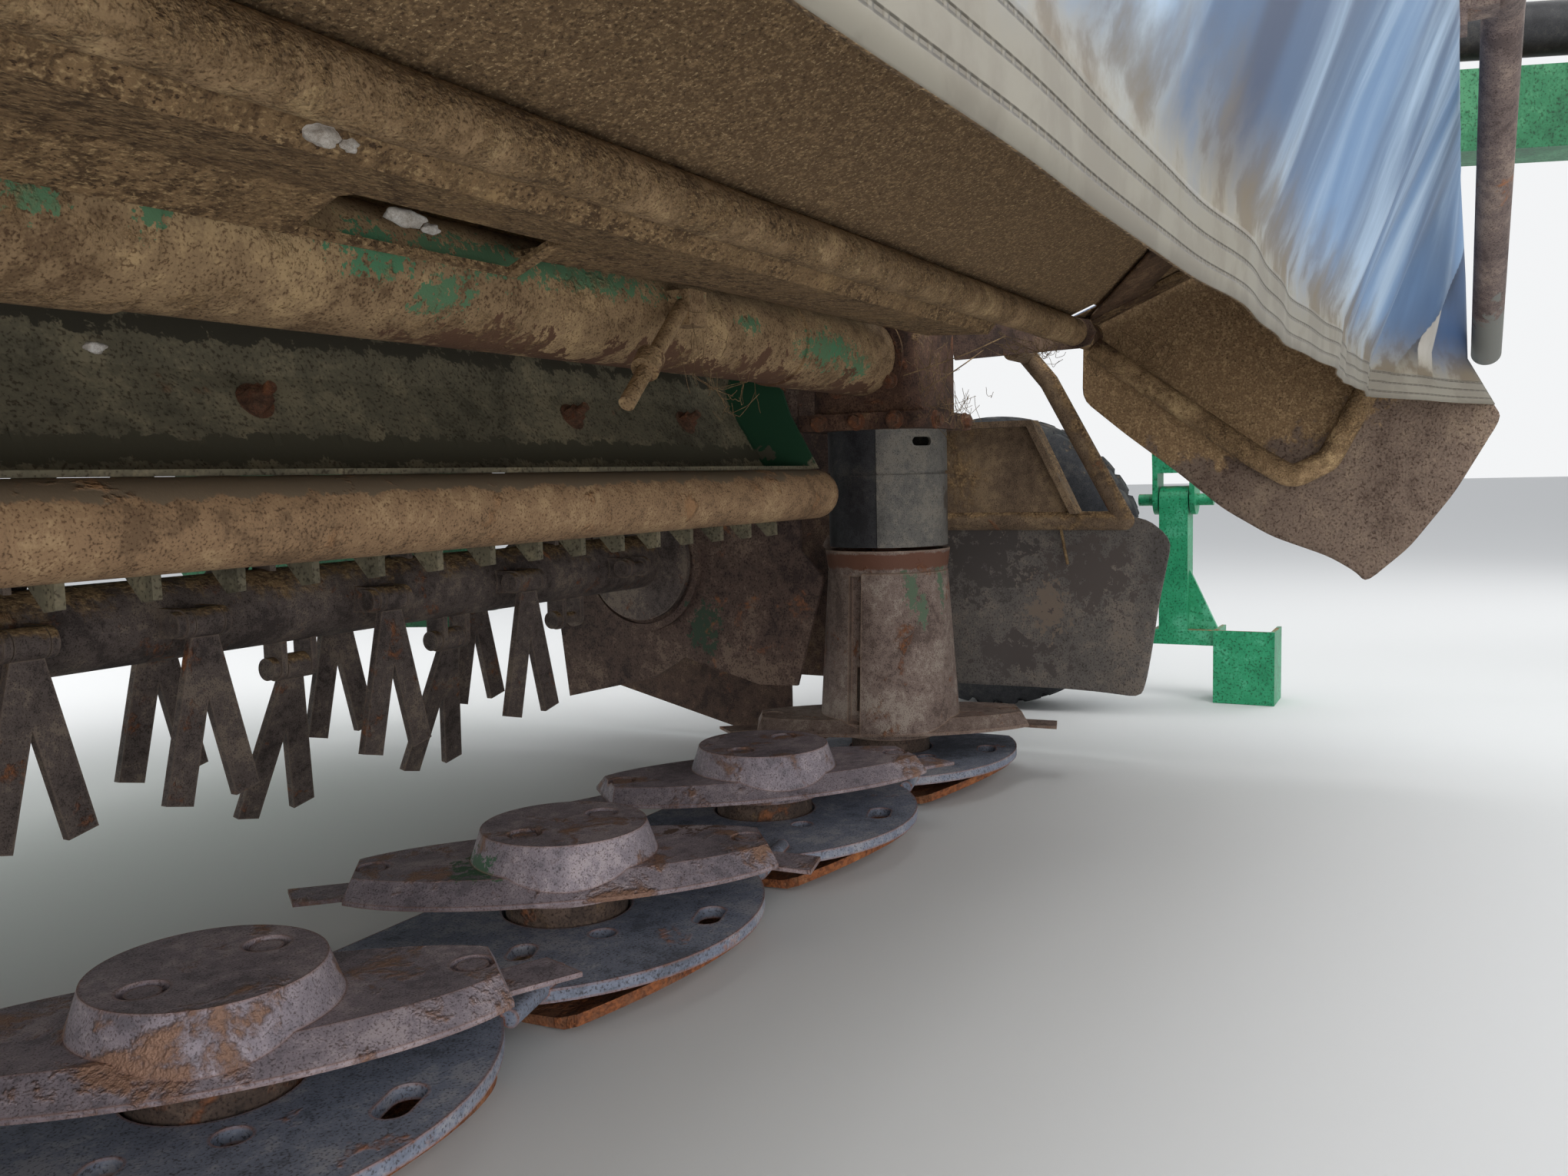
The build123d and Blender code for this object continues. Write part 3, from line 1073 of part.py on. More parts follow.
def swing_rod():
    (dx, dy), length = swing_line()
    at = lambda s: (SWING_BASE_X + dx * s, SWING_BASE_Y + dy * s, SWING_Z)
    eye = swing_eye()
    return rod(at(165), at(length - 4), ROD_R) + post(20, SWING_Z - 14, SWING_Z + 14, *eye)


def all_parts():
    parts = {
        "cutterbar": cutterbar(),
        "stone_guards": stone_guards(),
        "skid_shoes": skid_shoes(),
        "main_beam": main_beam(),
        "crop_tube": crop_tube(),
        "conditioner_hood": conditioner_hood(),
        "side_walls": side_walls(),
        "end_plates": end_plates(),
        "header_crossbar": header_crossbar(),
        "deck_sheet": deck_sheet(),
        "gearbox": gearbox(),
        "beam_bracket": beam_bracket(),
        "shaft_cover": shaft_cover(),
        "transfer_shaft": transfer_shaft(),
        "flap_frames": flap_frames(),
        "end_flaps": end_flaps(),
        "carrier_frame": carrier_frame(),
        "swivel_gearbox": swivel_gearbox(),
        "belt_guard": belt_guard(),
        "swath_hood": swath_hood(),
        "rotor": rotor(),
        "guard_frame": guard_frame(),
        "bumper": bumper(),
        "top_canvas": top_canvas(),
        "front_curtain": front_curtain(),
        "side_curtains": side_curtains(),
        "drawbar": drawbar(),
        "stand_bracket": stand_bracket(),
        "pto_guard": pto_guard(),
        "parking_stand": parking_stand(),
        "swing_barrel": swing_barrel(),
        "swing_rod": swing_rod(),
    }
    parts.update(discs())
    for name, side in (("left", 1), ("right", -1)):
        parts[f"lift_arm_{name}"] = lift_arm(side)
        parts[f"tyre_{name}"] = tyre(side)
        parts[f"rim_{name}"] = rim(side)
        parts[f"lift_barrel_{name}"] = lift_barrel(side)
        parts[f"lift_rod_{name}"] = lift_rod(side)
        parts[f"swath_door_{name}"] = swath_door(side)
    return parts


made = all_parts()
boxes = [shape.bounding_box() for shape in made.values()]
middle_x = (min(box.min.X for box in boxes) + max(box.max.X for box in boxes)) / 2
middle_y = (min(box.min.Y for box in boxes) + max(box.max.Y for box in boxes)) / 2
ground = min(box.min.Z for box in boxes)
os.makedirs("parts", exist_ok=True)
for node, shape in made.items():
    export_step(Pos(-middle_x, -middle_y, -ground) * shape, f"parts/{node}.step")
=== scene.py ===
import math
import random

import bmesh
import bpy
from mathutils import Matrix, Vector, noise


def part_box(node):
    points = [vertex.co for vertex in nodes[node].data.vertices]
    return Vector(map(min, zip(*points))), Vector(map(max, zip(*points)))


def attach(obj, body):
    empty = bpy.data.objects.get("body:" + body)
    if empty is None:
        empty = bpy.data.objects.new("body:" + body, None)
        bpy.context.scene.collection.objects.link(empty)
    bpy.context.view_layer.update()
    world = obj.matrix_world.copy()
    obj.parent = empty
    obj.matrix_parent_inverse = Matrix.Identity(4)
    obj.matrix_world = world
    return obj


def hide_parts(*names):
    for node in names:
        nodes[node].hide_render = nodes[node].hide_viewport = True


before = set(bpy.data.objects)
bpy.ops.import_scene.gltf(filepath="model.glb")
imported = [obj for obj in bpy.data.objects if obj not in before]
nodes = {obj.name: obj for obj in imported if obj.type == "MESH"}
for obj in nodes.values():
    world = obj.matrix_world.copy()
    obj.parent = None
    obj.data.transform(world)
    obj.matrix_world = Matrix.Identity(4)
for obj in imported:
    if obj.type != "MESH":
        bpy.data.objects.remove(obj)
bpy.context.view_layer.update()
scene = bpy.context.scene
SIDES = ((1, "left"), (-1, "right"))

# Place and view.
# The machine is set out in millimetres from the ground under its middle disc, with +X to its left-hand
# end, where the drawbar is, and +Z up. The camera kneels low in front of the cutterbar, under the guard.
CASE_FRONT = -60.0
case_low, case_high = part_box("cutterbar")
MACHINE = Vector(((case_low.x + case_high.x) / 2, case_low.y - CASE_FRONT / 1000, 0.0))


def at(x, y, z):
    """A point of the machine, given in millimetres from the ground under the middle disc."""
    return MACHINE + Vector((x, y, z)) / 1000


eye = at(-556.3, -772.2, 462.5)
turn, dip, lean = (math.radians(angle) for angle in (28.51, 5.0, 1.37))
ahead = Vector((math.cos(dip) * math.cos(turn), math.cos(dip) * math.sin(turn), -math.sin(dip)))
flat_right = Vector((math.sin(turn), -math.cos(turn), 0.0))
flat_down = ahead.cross(flat_right)
right = math.cos(lean) * flat_right + math.sin(lean) * flat_down
down = -math.sin(lean) * flat_right + math.cos(lean) * flat_down
camera_data = bpy.data.cameras.new("camera")
camera_data.sensor_width = 36.0
camera_data.lens = 28.73
camera_data.clip_start = 0.02
camera = bpy.data.objects.new("camera", camera_data)
camera.matrix_world = Matrix((
    (right.x, -down.x, -ahead.x, eye.x),
    (right.y, -down.y, -ahead.y, eye.y),
    (right.z, -down.z, -ahead.z, eye.z),
    (0.0, 0.0, 0.0, 1.0),
))
scene.collection.objects.link(camera)
scene.camera = camera


# Shader helpers.
# Colours are given as they look on a screen, from 0 to 255, and turned into the linear values that
# the shader sockets hold.


def screen(*tone):
    """A screen colour, given as red, green and blue, as a linear one by the sRGB curve."""
    shares = [part / 255 for part in tone]
    return tuple(share / 12.92 if share <= 0.04045 else ((share + 0.055) / 1.055) ** 2.4 for share in shares)


def wire(tree, kind, values=None, **settings):
    """A shader node with its settings, its sockets' values, and links from the sockets given to it."""
    made = tree.nodes.new(kind)
    for name, value in settings.items():
        setattr(made, name, value)
    for name, value in (values or {}).items():
        socket = made.inputs[name]
        if isinstance(value, bpy.types.NodeSocket):
            tree.links.new(value, socket)
        elif isinstance(value, tuple) and len(value) == 3 and socket.type == "RGBA":
            socket.default_value = (*value, 1.0)
        else:
            socket.default_value = value
    return made


def reckon(tree, operation, first, second=0.0):
    """A number worked out from one or two others."""
    return wire(tree, "ShaderNodeMath", {0: first, 1: second}, operation=operation).outputs[0]


def times(tree, first, second):
    """One number times another."""
    return reckon(tree, "MULTIPLY", first, second)


def plus(tree, first, second):
    """One number added to another."""
    return reckon(tree, "ADD", first, second)


def minus(tree, first, second):
    """One number less another."""
    return reckon(tree, "SUBTRACT", first, second)


def vector(tree, operation, first, second=(0.0, 0.0, 0.0)):
    """The outputs of a node that works on one or two vectors."""
    return wire(tree, "ShaderNodeVectorMath", {0: first, 1: second}, operation=operation).outputs


def effect(tree, group, **values):
    """The outputs of a shared effect."""
    return wire(tree, "ShaderNodeGroup", values, node_tree=group).outputs


def between(tree, value, low, high):
    """0 below low, 1 above high, and a smooth step between them."""
    values = {"Value": value, "From Min": low, "From Max": high}
    return wire(tree, "ShaderNodeMapRange", values, interpolation_type="SMOOTHSTEP").outputs[0]


def blended(tree, mask, under, over, way="MIX"):
    """Two colours mixed by a mask."""
    values = {0: mask, 6: under, 7: over}
    return wire(tree, "ShaderNodeMix", values, data_type="RGBA", blend_type=way).outputs[2]


def stretched(tree, where, scale):
    """The same place with its axes scaled, for streaks and brushed grain."""
    return vector(tree, "MULTIPLY", where, scale)[0]


def grain(tree, where, scale, detail=6.0, rough=0.6, twist=0.0):
    """Fractal noise from 0 to 1, with its features about 1/scale metres across."""
    values = {"Vector": where, "Scale": scale, "Detail": detail, "Roughness": rough, "Distortion": twist}
    return wire(tree, "ShaderNodeTexNoise", values).outputs["Fac"]


def new_material(name):
    """An empty node material and its output."""
    made = bpy.data.materials.new(name)
    made.use_nodes = True
    made.node_tree.nodes.clear()
    return made, made.node_tree, made.node_tree.nodes.new("ShaderNodeOutputMaterial")


def new_group(name, takes, gives):
    """An empty node group with its inputs and outputs, given as {label: default} and {label: kind}."""
    made = bpy.data.node_groups.new(name, "ShaderNodeTree")
    for label, default in takes.items():
        kind = "NodeSocketFloat"
        if isinstance(default, tuple):
            kind = "NodeSocketVector" if label in ("Where", "Centre", "Reach") else "NodeSocketColor"
        socket = made.interface.new_socket(label, in_out="INPUT", socket_type=kind)
        socket.default_value = (*default, 1.0) if kind == "NodeSocketColor" else default
    for label, kind in gives.items():
        made.interface.new_socket(label, in_out="OUTPUT", socket_type="NodeSocket" + kind)
    return made, made.nodes.new("NodeGroupInput").outputs, made.nodes.new("NodeGroupOutput").inputs


# Shared effects.
# Each is a node group that puts out colours, masks and heights: mottling in three tones, blooming rust,
# caked chaff and dust, rubbed edges, and a patch with a ragged border at a given place.
ORIGIN = (0.0, 0.0, 0.0)
WORN_RADIUS = 0.004
tree, take, give = new_group(
    "mottled",
    {"Where": ORIGIN, "Scale": 8.0, "Dark": (0.1, 0.1, 0.1), "Middle": (0.2, 0.2, 0.2),
     "Light": (0.4, 0.4, 0.4)},
    {"Color": "Color", "Value": "Float"})
where = take["Where"]
broad = grain(tree, where, take["Scale"], 4.0, 0.62, 0.4)
fine = grain(tree, where, times(tree, take["Scale"], 7.0), 2.5, 0.7)
grit = grain(tree, where, times(tree, take["Scale"], 48.0), 1.5, 0.6)
value = plus(tree, times(tree, broad, 0.52), times(tree, fine, 0.30))
value = plus(tree, value, times(tree, grit, 0.18))
low_half = blended(tree, between(tree, value, 0.40, 0.50), take["Dark"], take["Middle"])
tone = blended(tree, between(tree, value, 0.50, 0.60), low_half, take["Light"])
specks = blended(tree, between(tree, grit, 0.44, 0.34), (1.0, 1.0, 1.0), (0.55, 0.50, 0.47))
tree.links.new(blended(tree, 1.0, tone, specks, "MULTIPLY"), give["Color"])
tree.links.new(value, give["Value"])
mottled = tree

tree, take, give = new_group(
    "rust_bloom",
    {"Where": ORIGIN, "Scale": 14.0, "Amount": 0.5, "Deep": (0.1, 0.1, 0.1), "Brown": (0.2, 0.1, 0.1),
     "Bright": (0.4, 0.2, 0.1)},
    {"Color": "Color", "Mask": "Float", "Height": "Float"})
where = take["Where"]
spread = grain(tree, where, take["Scale"], 4.5, 0.68, 0.4)
pits = grain(tree, where, times(tree, take["Scale"], 12.0), 2.0, 0.7)
level = minus(tree, 0.80, times(tree, take["Amount"], 0.55))
level_over = plus(tree, level, 0.12)
spread_out = plus(tree, spread, times(tree, pits, 0.12))
rust_mask = between(tree, spread_out, level, level_over)
rust_low = blended(tree, between(tree, pits, 0.35, 0.62), take["Deep"], take["Brown"])
rust_high = blended(tree, between(tree, spread, 0.54, 0.74), rust_low, take["Bright"])
tree.links.new(rust_high, give["Color"])
tree.links.new(rust_mask, give["Mask"])
tree.links.new(times(tree, rust_mask, pits), give["Height"])
rust_bloom = tree

tree, take, give = new_group(
    "caked_dust", {"Where": ORIGIN, "Scale": 60.0, "Amount": 0.5, "Upward": 0.0},
    {"Color": "Color", "Mask": "Float", "Height": "Float"})
where = take["Where"]
normal = wire(tree, "ShaderNodeNewGeometry").outputs["Normal"]
facing = wire(tree, "ShaderNodeSeparateXYZ", {0: normal}).outputs["Z"]
drift = grain(tree, where, times(tree, take["Scale"], 0.16), 3.0, 0.6, 0.5)
crumbs = grain(tree, where, take["Scale"], 3.5, 0.72)
along_x = stretched(tree, where, (0.6, 1.0, 1.0))
chaff = grain(tree, along_x, times(tree, take["Scale"], 5.0), 2.0, 0.65, 0.2)
values = {"Vector": where, "Scale": times(tree, take["Scale"], 2.2)}
clods = wire(tree, "ShaderNodeTexVoronoi", values).outputs["Distance"]
settled = times(tree, reckon(tree, "MAXIMUM", facing, 0.0), take["Upward"])
lying = plus(tree, times(tree, drift, 0.6), times(tree, crumbs, 0.4))
lying = plus(tree, lying, settled)
bare_below = minus(tree, 0.78, times(tree, take["Amount"], 0.62))
full_above = plus(tree, bare_below, 0.16)
dust_low = blended(tree, between(tree, crumbs, 0.38, 0.58), screen(86, 66, 45), screen(138, 111, 79))
dust_high = blended(tree, between(tree, chaff, 0.52, 0.70), dust_low, screen(174, 146, 106))
hollows = between(tree, chaff, 0.42, 0.33)
dust_high = blended(tree, hollows, dust_high, screen(70, 52, 35))
tree.links.new(dust_high, give["Color"])
tree.links.new(between(tree, lying, bare_below, full_above), give["Mask"])
lumps = plus(tree, times(tree, crumbs, 0.55), times(tree, chaff, 0.35))
lumps = minus(tree, lumps, times(tree, clods, 0.22))
tree.links.new(lumps, give["Height"])
caked_dust = tree

tree, take, give = new_group("rubbed_edge", {"Where": ORIGIN, "Scale": 40.0}, {"Mask": "Float"})
where = take["Where"]
softened = wire(tree, "ShaderNodeBevel", {"Radius": WORN_RADIUS}, samples=2).outputs[0]
true_normal = wire(tree, "ShaderNodeNewGeometry").outputs["Normal"]
likeness = vector(tree, "DOT_PRODUCT", softened, true_normal)["Value"]
broken = grain(tree, where, take["Scale"], 3.0, 0.7)
edge = plus(tree, minus(tree, 1.0, likeness), times(tree, broken, 0.10))
tree.links.new(between(tree, edge, 0.07, 0.16), give["Mask"])
rubbed_edge = tree

tree, take, give = new_group(
    "ragged_patch",
    {"Where": ORIGIN, "Centre": ORIGIN, "Reach": (0.1, 0.1, 0.1), "Raggedness": 0.9, "Scale": 30.0},
    {"Mask": "Float"})
where = take["Where"]
offset = vector(tree, "SUBTRACT", where, take["Centre"])[0]
away = vector(tree, "LENGTH", vector(tree, "DIVIDE", offset, take["Reach"])[0])["Value"]
tear = grain(tree, where, take["Scale"], 4.0, 0.72, 0.3)
tear = times(tree, minus(tree, tear, 0.5), times(tree, take["Raggedness"], 4.0))
reach_left = minus(tree, 1.0, plus(tree, away, tear))
tree.links.new(between(tree, reach_left, -0.04, 0.10), give["Mask"])
ragged_patch = tree

# Weathered surfaces.
# Every surface is built the same way: mottled paint, iron or rubber, then patches at given places, then
# rust, then rubbed edges, and last the caked dust, with a relief that follows the rust and the dust.
# A patch is its centre and reach in millimetres, its colour and its raggedness, and where it is finer
# than PATCH_SCALE, the scale of its border.
PATCH_SCALE = 30.0
DRY = 0.96
RUST = ((84, 52, 38), (124, 78, 54), (150, 98, 64))
ORANGE_RUST = ((104, 60, 38), (152, 92, 56), (182, 116, 68))


def weathered(name, tones, scale=9.0, rough=0.78, metal=0.0, patches=(), rust=0.0, rust_scale=14.0,
              edges=None, dust=0.0, upward=0.0, dust_scale=60.0, relief=0.5, rust_tones=RUST):
    """A material of three mottled tones with its patches, rust, rubbed edges and dust."""
    made, tree, output = new_material(name)
    place = wire(tree, "ShaderNodeTexCoord").outputs["Object"]
    dark, middle, light = (screen(*tone) for tone in tones)
    base = effect(tree, mottled, Where=place, Scale=scale, Dark=dark, Middle=middle, Light=light)
    tone = base["Color"]
    height = times(tree, base["Value"], 0.35)
    for centre, reach, colour, ragged, *fine_scale in patches:
        spot = effect(tree, ragged_patch, Where=place, Centre=at(*centre), Reach=Vector(reach) / 1000,
                      Raggedness=ragged, Scale=fine_scale[0] if fine_scale else PATCH_SCALE)
        tone = blended(tree, spot["Mask"], tone, screen(*colour))
    if rust:
        deep, brown, bright = (screen(*tone) for tone in rust_tones)
        bloom = effect(tree, rust_bloom, Where=place, Scale=rust_scale, Amount=rust, Deep=deep, Brown=brown,
                       Bright=bright)
        tone = blended(tree, bloom["Mask"], tone, bloom["Color"])
        height = plus(tree, height, bloom["Height"])
    if edges:
        tone = blended(tree, effect(tree, rubbed_edge, Where=place)["Mask"], tone, screen(*edges))
    dull = rough
    if dust:
        cake = effect(tree, caked_dust, Where=place, Scale=dust_scale, Amount=dust, Upward=upward)
        tone = blended(tree, cake["Mask"], tone, cake["Color"])
        height = plus(tree, height, times(tree, cake["Mask"], cake["Height"]))
        values = {"Value": cake["Mask"], "To Min": rough, "To Max": DRY}
        dull = wire(tree, "ShaderNodeMapRange", values).outputs[0]
    bump = wire(tree, "ShaderNodeBump", {"Strength": relief, "Distance": 0.006, "Height": height}).outputs[0]
    values = {"Base Color": tone, "Roughness": dull, "Metallic": metal, "Normal": bump,
              "Specular IOR Level": 0.35}
    lit = wire(tree, "ShaderNodeBsdfPrincipled", values)
    tree.links.new(lit.outputs[0], output.inputs["Surface"])
    return made


def dress(material, *names):
    """Gives CAD nodes their material in every slot."""
    for name in names:
        slots = nodes[name].data.materials
        slots.clear()
        slots.append(material)


# Floor and light.
# A plain pale studio floor, with large soft lamps over and behind the machine and one low in front,
# so that the light reaches under the guard. Bounces and samples are held down for speed.
scene.view_settings.view_transform = "Standard"
scene.cycles.adaptive_threshold = 0.08
scene.cycles.max_bounces = 5
scene.cycles.diffuse_bounces = 3
floor_material, tree, output = new_material("studio_floor")
lit = wire(tree, "ShaderNodeBsdfPrincipled", {"Base Color": (0.68, 0.68, 0.67), "Roughness": 0.9})
tree.links.new(lit.outputs[0], output.inputs["Surface"])
FLOOR_REACH = 40.0
FLOOR_Z = -0.0005
corners = [(x * FLOOR_REACH, y * FLOOR_REACH, FLOOR_Z) for x, y in ((-1, -1), (1, -1), (1, 1), (-1, 1))]
floor_mesh = bpy.data.meshes.new("floor")
floor_mesh.from_pydata(corners, [], [(0, 1, 2, 3)])
floor = bpy.data.objects.new("floor", floor_mesh)
floor_mesh.materials.append(floor_material)
scene.collection.objects.link(floor)

world = bpy.data.worlds.new("studio")
scene.world = world
world.use_nodes = True
tree = world.node_tree
tree.nodes.clear()
path = wire(tree, "ShaderNodeLightPath")
seen = reckon(tree, "MAXIMUM", path.outputs["Is Camera Ray"], path.outputs["Is Glossy Ray"])
soft = wire(tree, "ShaderNodeBackground", {"Color": (0.92, 0.95, 1.0), "Strength": 0.70})
pale = wire(tree, "ShaderNodeBackground", {"Color": (0.90, 0.91, 0.92), "Strength": 1.0})
choice = wire(tree, "ShaderNodeMixShader", {"Fac": seen, 1: soft.outputs[0], 2: pale.outputs[0]})
wire(tree, "ShaderNodeOutputWorld", {"Surface": choice.outputs[0]})

# Each lamp has its place, the place it looks at, its side in metres and its watts.
for name, spot, aim, size, power in (
    ("lamp_front", at(-600, -2600, 4000), at(0, -1300, 0), 3.0, 80.0),
    ("lamp_over", at(600, -300, 4200), at(300, 0, 400), 3.4, 72.0),
    ("lamp_far", at(4200, -2200, 2600), at(900, 0, 400), 2.4, 35.0),
    ("lamp_back", at(-600, 4200, 2600), at(0, 400, 400), 3.0, 120.0),
    ("lamp_low", at(-1900, -1700, 350), at(500, 0, 480), 2.0, 52.0),
):
    lamp_data = bpy.data.lights.new(name, "AREA")
    lamp_data.size = size
    lamp_data.energy = power
    lamp = bpy.data.objects.new(name, lamp_data)
    lamp.location = spot
    lamp.rotation_euler = (aim - spot).to_track_quat("-Z", "Y").to_euler()
    scene.collection.objects.link(lamp)


# Cutterbar.
# The gear case and its skids are brown with rust, and the stone guards are worn to blue-grey steel
# with orange rust along their rims.
dress(weathered(
    "cutterbar_iron", ((52, 43, 38), (76, 62, 54), (104, 86, 74)), rust=0.35, dust=0.30, upward=0.2,
    relief=0.7), "cutterbar")
dress(weathered(
    "skid_steel", ((98, 66, 50), (132, 88, 62), (160, 112, 78)), rust=0.6, relief=0.6,
    rust_tones=ORANGE_RUST), "skid_shoes")
guard_patches = [((x + 40, -262, 46), (150, 26, 40), (150, 92, 60), 0.8) for x in range(0, 1201, 200)]
dress(weathered(
    "guard_plate_steel", ((104, 109, 121), (132, 139, 155), (164, 165, 173)), rough=0.62,
    metal=0.2, patches=guard_patches, rust=0.20, rust_scale=12.0, edges=(166, 104, 66), dust=0.10,
    relief=0.6, rust_tones=ORANGE_RUST), "stone_guards")

# Discs and drums.
# Each disc is scoured steel with pink-brown rust on the cap's flank, and the cap tops of the middle disc
# and the next are tinted blue-grey as painted sky light. The drums are redder, with a little green paint
# left near the top, under a rusty collar.
dress(weathered(
    "disc_steel", ((118, 111, 118), (148, 138, 145), (178, 166, 170)), scale=13.0, rough=0.6, metal=0.2,
    patches=[((326, 40, 104), (30, 26, 12), (74, 108, 82), 1.4, 90.0),
             ((560, -60, 104), (60, 40, 20), (96, 76, 68), 0.9),
             # Blue-grey on these two cap tops is painted sky light.
             ((0, 0, 152), (96, 96, 8), (106, 110, 124), 0.7),
             ((400, 0, 152), (96, 96, 8), (110, 112, 124), 0.7)], rust=0.38, rust_scale=17.0,
    edges=(146, 112, 98), dust=0.10, upward=0.05, relief=0.7,
    rust_tones=((106, 82, 72), (138, 108, 94), (156, 122, 102))), *[f"disc_{k}" for k in range(2, 7)])
drum_streaks = [((x, -75, z), (7, 40, reach), (92, 110, 88), 1.2, 120.0)
                for x, z, reach in ((1130, 296, 30), (1142, 262, 22), (1182, 300, 34), (1196, 330, 14))]
dress(weathered(
    "drum_steel", ((98, 82, 74), (130, 112, 103), (158, 144, 132)), scale=13.0, rough=0.66, metal=0.15,
    patches=drum_streaks + [((1200, 0, 338), (130, 130, 17), (108, 72, 56), 0.15)], rust=0.30,
    rust_scale=18.0, edges=(158, 132, 112), dust=0.12, relief=0.7), "driven_drum", "hat_drum")

# Cross tubes.
# The beam is caked with chaff, with green paint showing where it has rubbed off. The crop tube under
# it is rusty and dusted, and the sheet over it is the dustiest of all.
GREEN_LEFT, GREEN_FRESH = (92, 128, 94), (84, 134, 98)
BEAM_PATCHES = [
    ((x, -48, z), (reach, 30, high), GREEN_FRESH if x in (141, 921) else GREEN_LEFT, 1.5, 110.0)
    for x, z, reach, high in (
        (141, 640, 34, 16), (275, 652, 80, 13), (213, 616, 26, 14), (400, 652, 90, 10), (-42, 640, 12, 14),
        (-119, 632, 14, 10), (905, 626, 60, 18), (997, 609, 30, 14), (350, 656, 26, 8), (432, 649, 18, 9),
        (921, 623, 16, 10), (700, 640, 20, 9))]
BEAM_PATCHES += [((x, 0, 560), (reach, 90, 42), (98, 70, 52), 0.9)
                 for x, reach in ((560, 150), (760, 130), (300, 110), (1000, 90))]
dress(weathered(
    "beam_dust", ((114, 91, 66), (152, 126, 94), (182, 154, 114)), rough=0.92,
    patches=BEAM_PATCHES, rust=0.22, rust_scale=10.0, dust=0.42, dust_scale=80.0, relief=1.0,
    rust_tones=((92, 64, 48), (124, 90, 66), (146, 108, 78))), "main_beam")
dress(weathered(
    "deck_dust", ((102, 79, 55), (138, 111, 79), (164, 135, 95)), scale=7.0, rough=0.95, dust=0.70,
    dust_scale=70.0, relief=1.0), "deck_sheet")
dress(weathered(
    "crop_tube_rust", ((124, 99, 74), (160, 129, 97), (186, 156, 118)), rough=0.82,
    patches=[((0, 60, 476), (1300, 60, 20), (122, 106, 86), 0.35)], rust=0.30, rust_scale=12.0, dust=0.26,
    dust_scale=90.0, relief=0.8, rust_tones=((116, 84, 58), (152, 114, 80), (174, 134, 96))), "crop_tube")

# Conditioner.
# Under its grime the housing is dark green, the rotor and its tines are brown iron, and the walls are
# scoured to a reddish brown round the rotor's ring.
dress(weathered(
    "hood_grime", ((86, 81, 66), (112, 105, 86), (140, 130, 105)), scale=6.0, rough=0.8,
    patches=[((1062, 120, 560), (14, 90, 120), (30, 70, 46), 0.3),
             ((300, 216, 604), (1300, 24, 14), (64, 60, 49), 0.7),
             ((300, 140, 500), (1200, 26, 13), (84, 80, 65), 0.8),
             ((300, 200, 440), (1400, 200, 34), (100, 74, 62), 0.25)], rust=0.16, rust_scale=8.0, dust=0.20,
    relief=0.6), "conditioner_hood")
dress(weathered(
    "rotor_iron", ((70, 61, 58), (98, 87, 82), (128, 114, 102)), scale=14.0, rough=0.74, metal=0.1,
    rust=0.30, rust_scale=18.0, edges=(126, 110, 98), dust=0.24, upward=0.3, relief=0.7), "rotor")
dress(weathered(
    "wall_iron", ((64, 51, 47), (92, 74, 66), (124, 104, 90)), scale=8.0, rough=0.8,
    patches=[((1150, 350, 420), (20, 36, 24), (58, 72, 56), 1.4, 70.0),
             ((1150, 300, 230), (20, 26, 34), (58, 74, 58), 1.4, 70.0)], rust=0.22, dust=0.2,
    relief=0.6), "side_walls")

# Header ends.
# End plates, flap frames, gearbox and bracket are brown under dust, with the gearbox the reddest.
dress(weathered(
    "end_plate_iron", ((62, 48, 42), (90, 70, 60), (120, 98, 80)), rust=0.26, dust=0.36, upward=0.3,
    relief=0.6), "end_plates")
dress(weathered(
    "gearbox_iron", ((56, 40, 33), (84, 60, 48), (112, 84, 66)), rust=0.30, dust=0.36, upward=0.5,
    relief=0.8), "gearbox", "beam_bracket")
dress(weathered(
    "flap_frame_dust", ((88, 72, 57), (112, 93, 74), (138, 116, 90)), scale=11.0, rough=0.88, rust=0.18,
    dust=0.42, upward=0.3, relief=0.7), "flap_frames")

# Shaft cover.
# Two half shells of grey plastic. The one turned to the middle of the machine is nearly black.
cover_light = weathered(
    "cover_grey", ((84, 82, 78), (104, 101, 96), (126, 120, 110)), scale=14.0, rough=0.55,
    patches=[((1250, -110, 420), (60, 60, 24), (74, 66, 58), 1.1)], dust=0.24, relief=0.3)
cover_dark = weathered(
    "cover_black", ((38, 38, 41), (52, 52, 55), (74, 71, 68)), scale=14.0, rough=0.55, dust=0.18,
    relief=0.3)
dress(cover_light, "shaft_cover")
cover_mesh = nodes["shaft_cover"].data
cover_mesh.materials.append(cover_dark)
COVER_AXIS = at(1200, 0, 440)
COVER_SPLIT = math.radians(194.0)
split_side = Vector((-math.sin(COVER_SPLIT), math.cos(COVER_SPLIT), 0.0))
for face in cover_mesh.polygons:
    middle = nodes["shaft_cover"].matrix_world @ face.center
    face.material_index = 1 if (middle - COVER_AXIS).dot(split_side) < 0.0 else 0

# Painted frame.
# Carrier, drawbar, arms, hood and doors keep their green paint, chalky and dusted on top. The parking
# stand is the brightest. Barrels are black, rods chromed, rims pale, and the shaft guards are plastic.
dress(weathered(
    "green_paint", ((34, 92, 60), (44, 112, 74), (70, 134, 94)), scale=5.0, rough=0.45, rust=0.10,
    dust=0.18, upward=0.22, relief=0.2), "carrier_frame", "drawbar", "swivel_gearbox", "header_crossbar",
    "swath_hood", "swath_door_left", "swath_door_right", "lift_arm_left", "lift_arm_right", "belt_guard")
dress(weathered(
    "stand_paint", ((30, 128, 86), (44, 148, 102), (84, 174, 134)), scale=5.0, rough=0.4, rust=0.06,
    dust=0.08, upward=0.3, relief=0.15), "stand_bracket", "parking_stand")
dress(weathered(
    "black_plastic", ((30, 30, 32), (42, 42, 44), (60, 58, 56)), scale=16.0, rough=0.5, dust=0.2,
    upward=0.15, relief=0.2), "pto_guard")
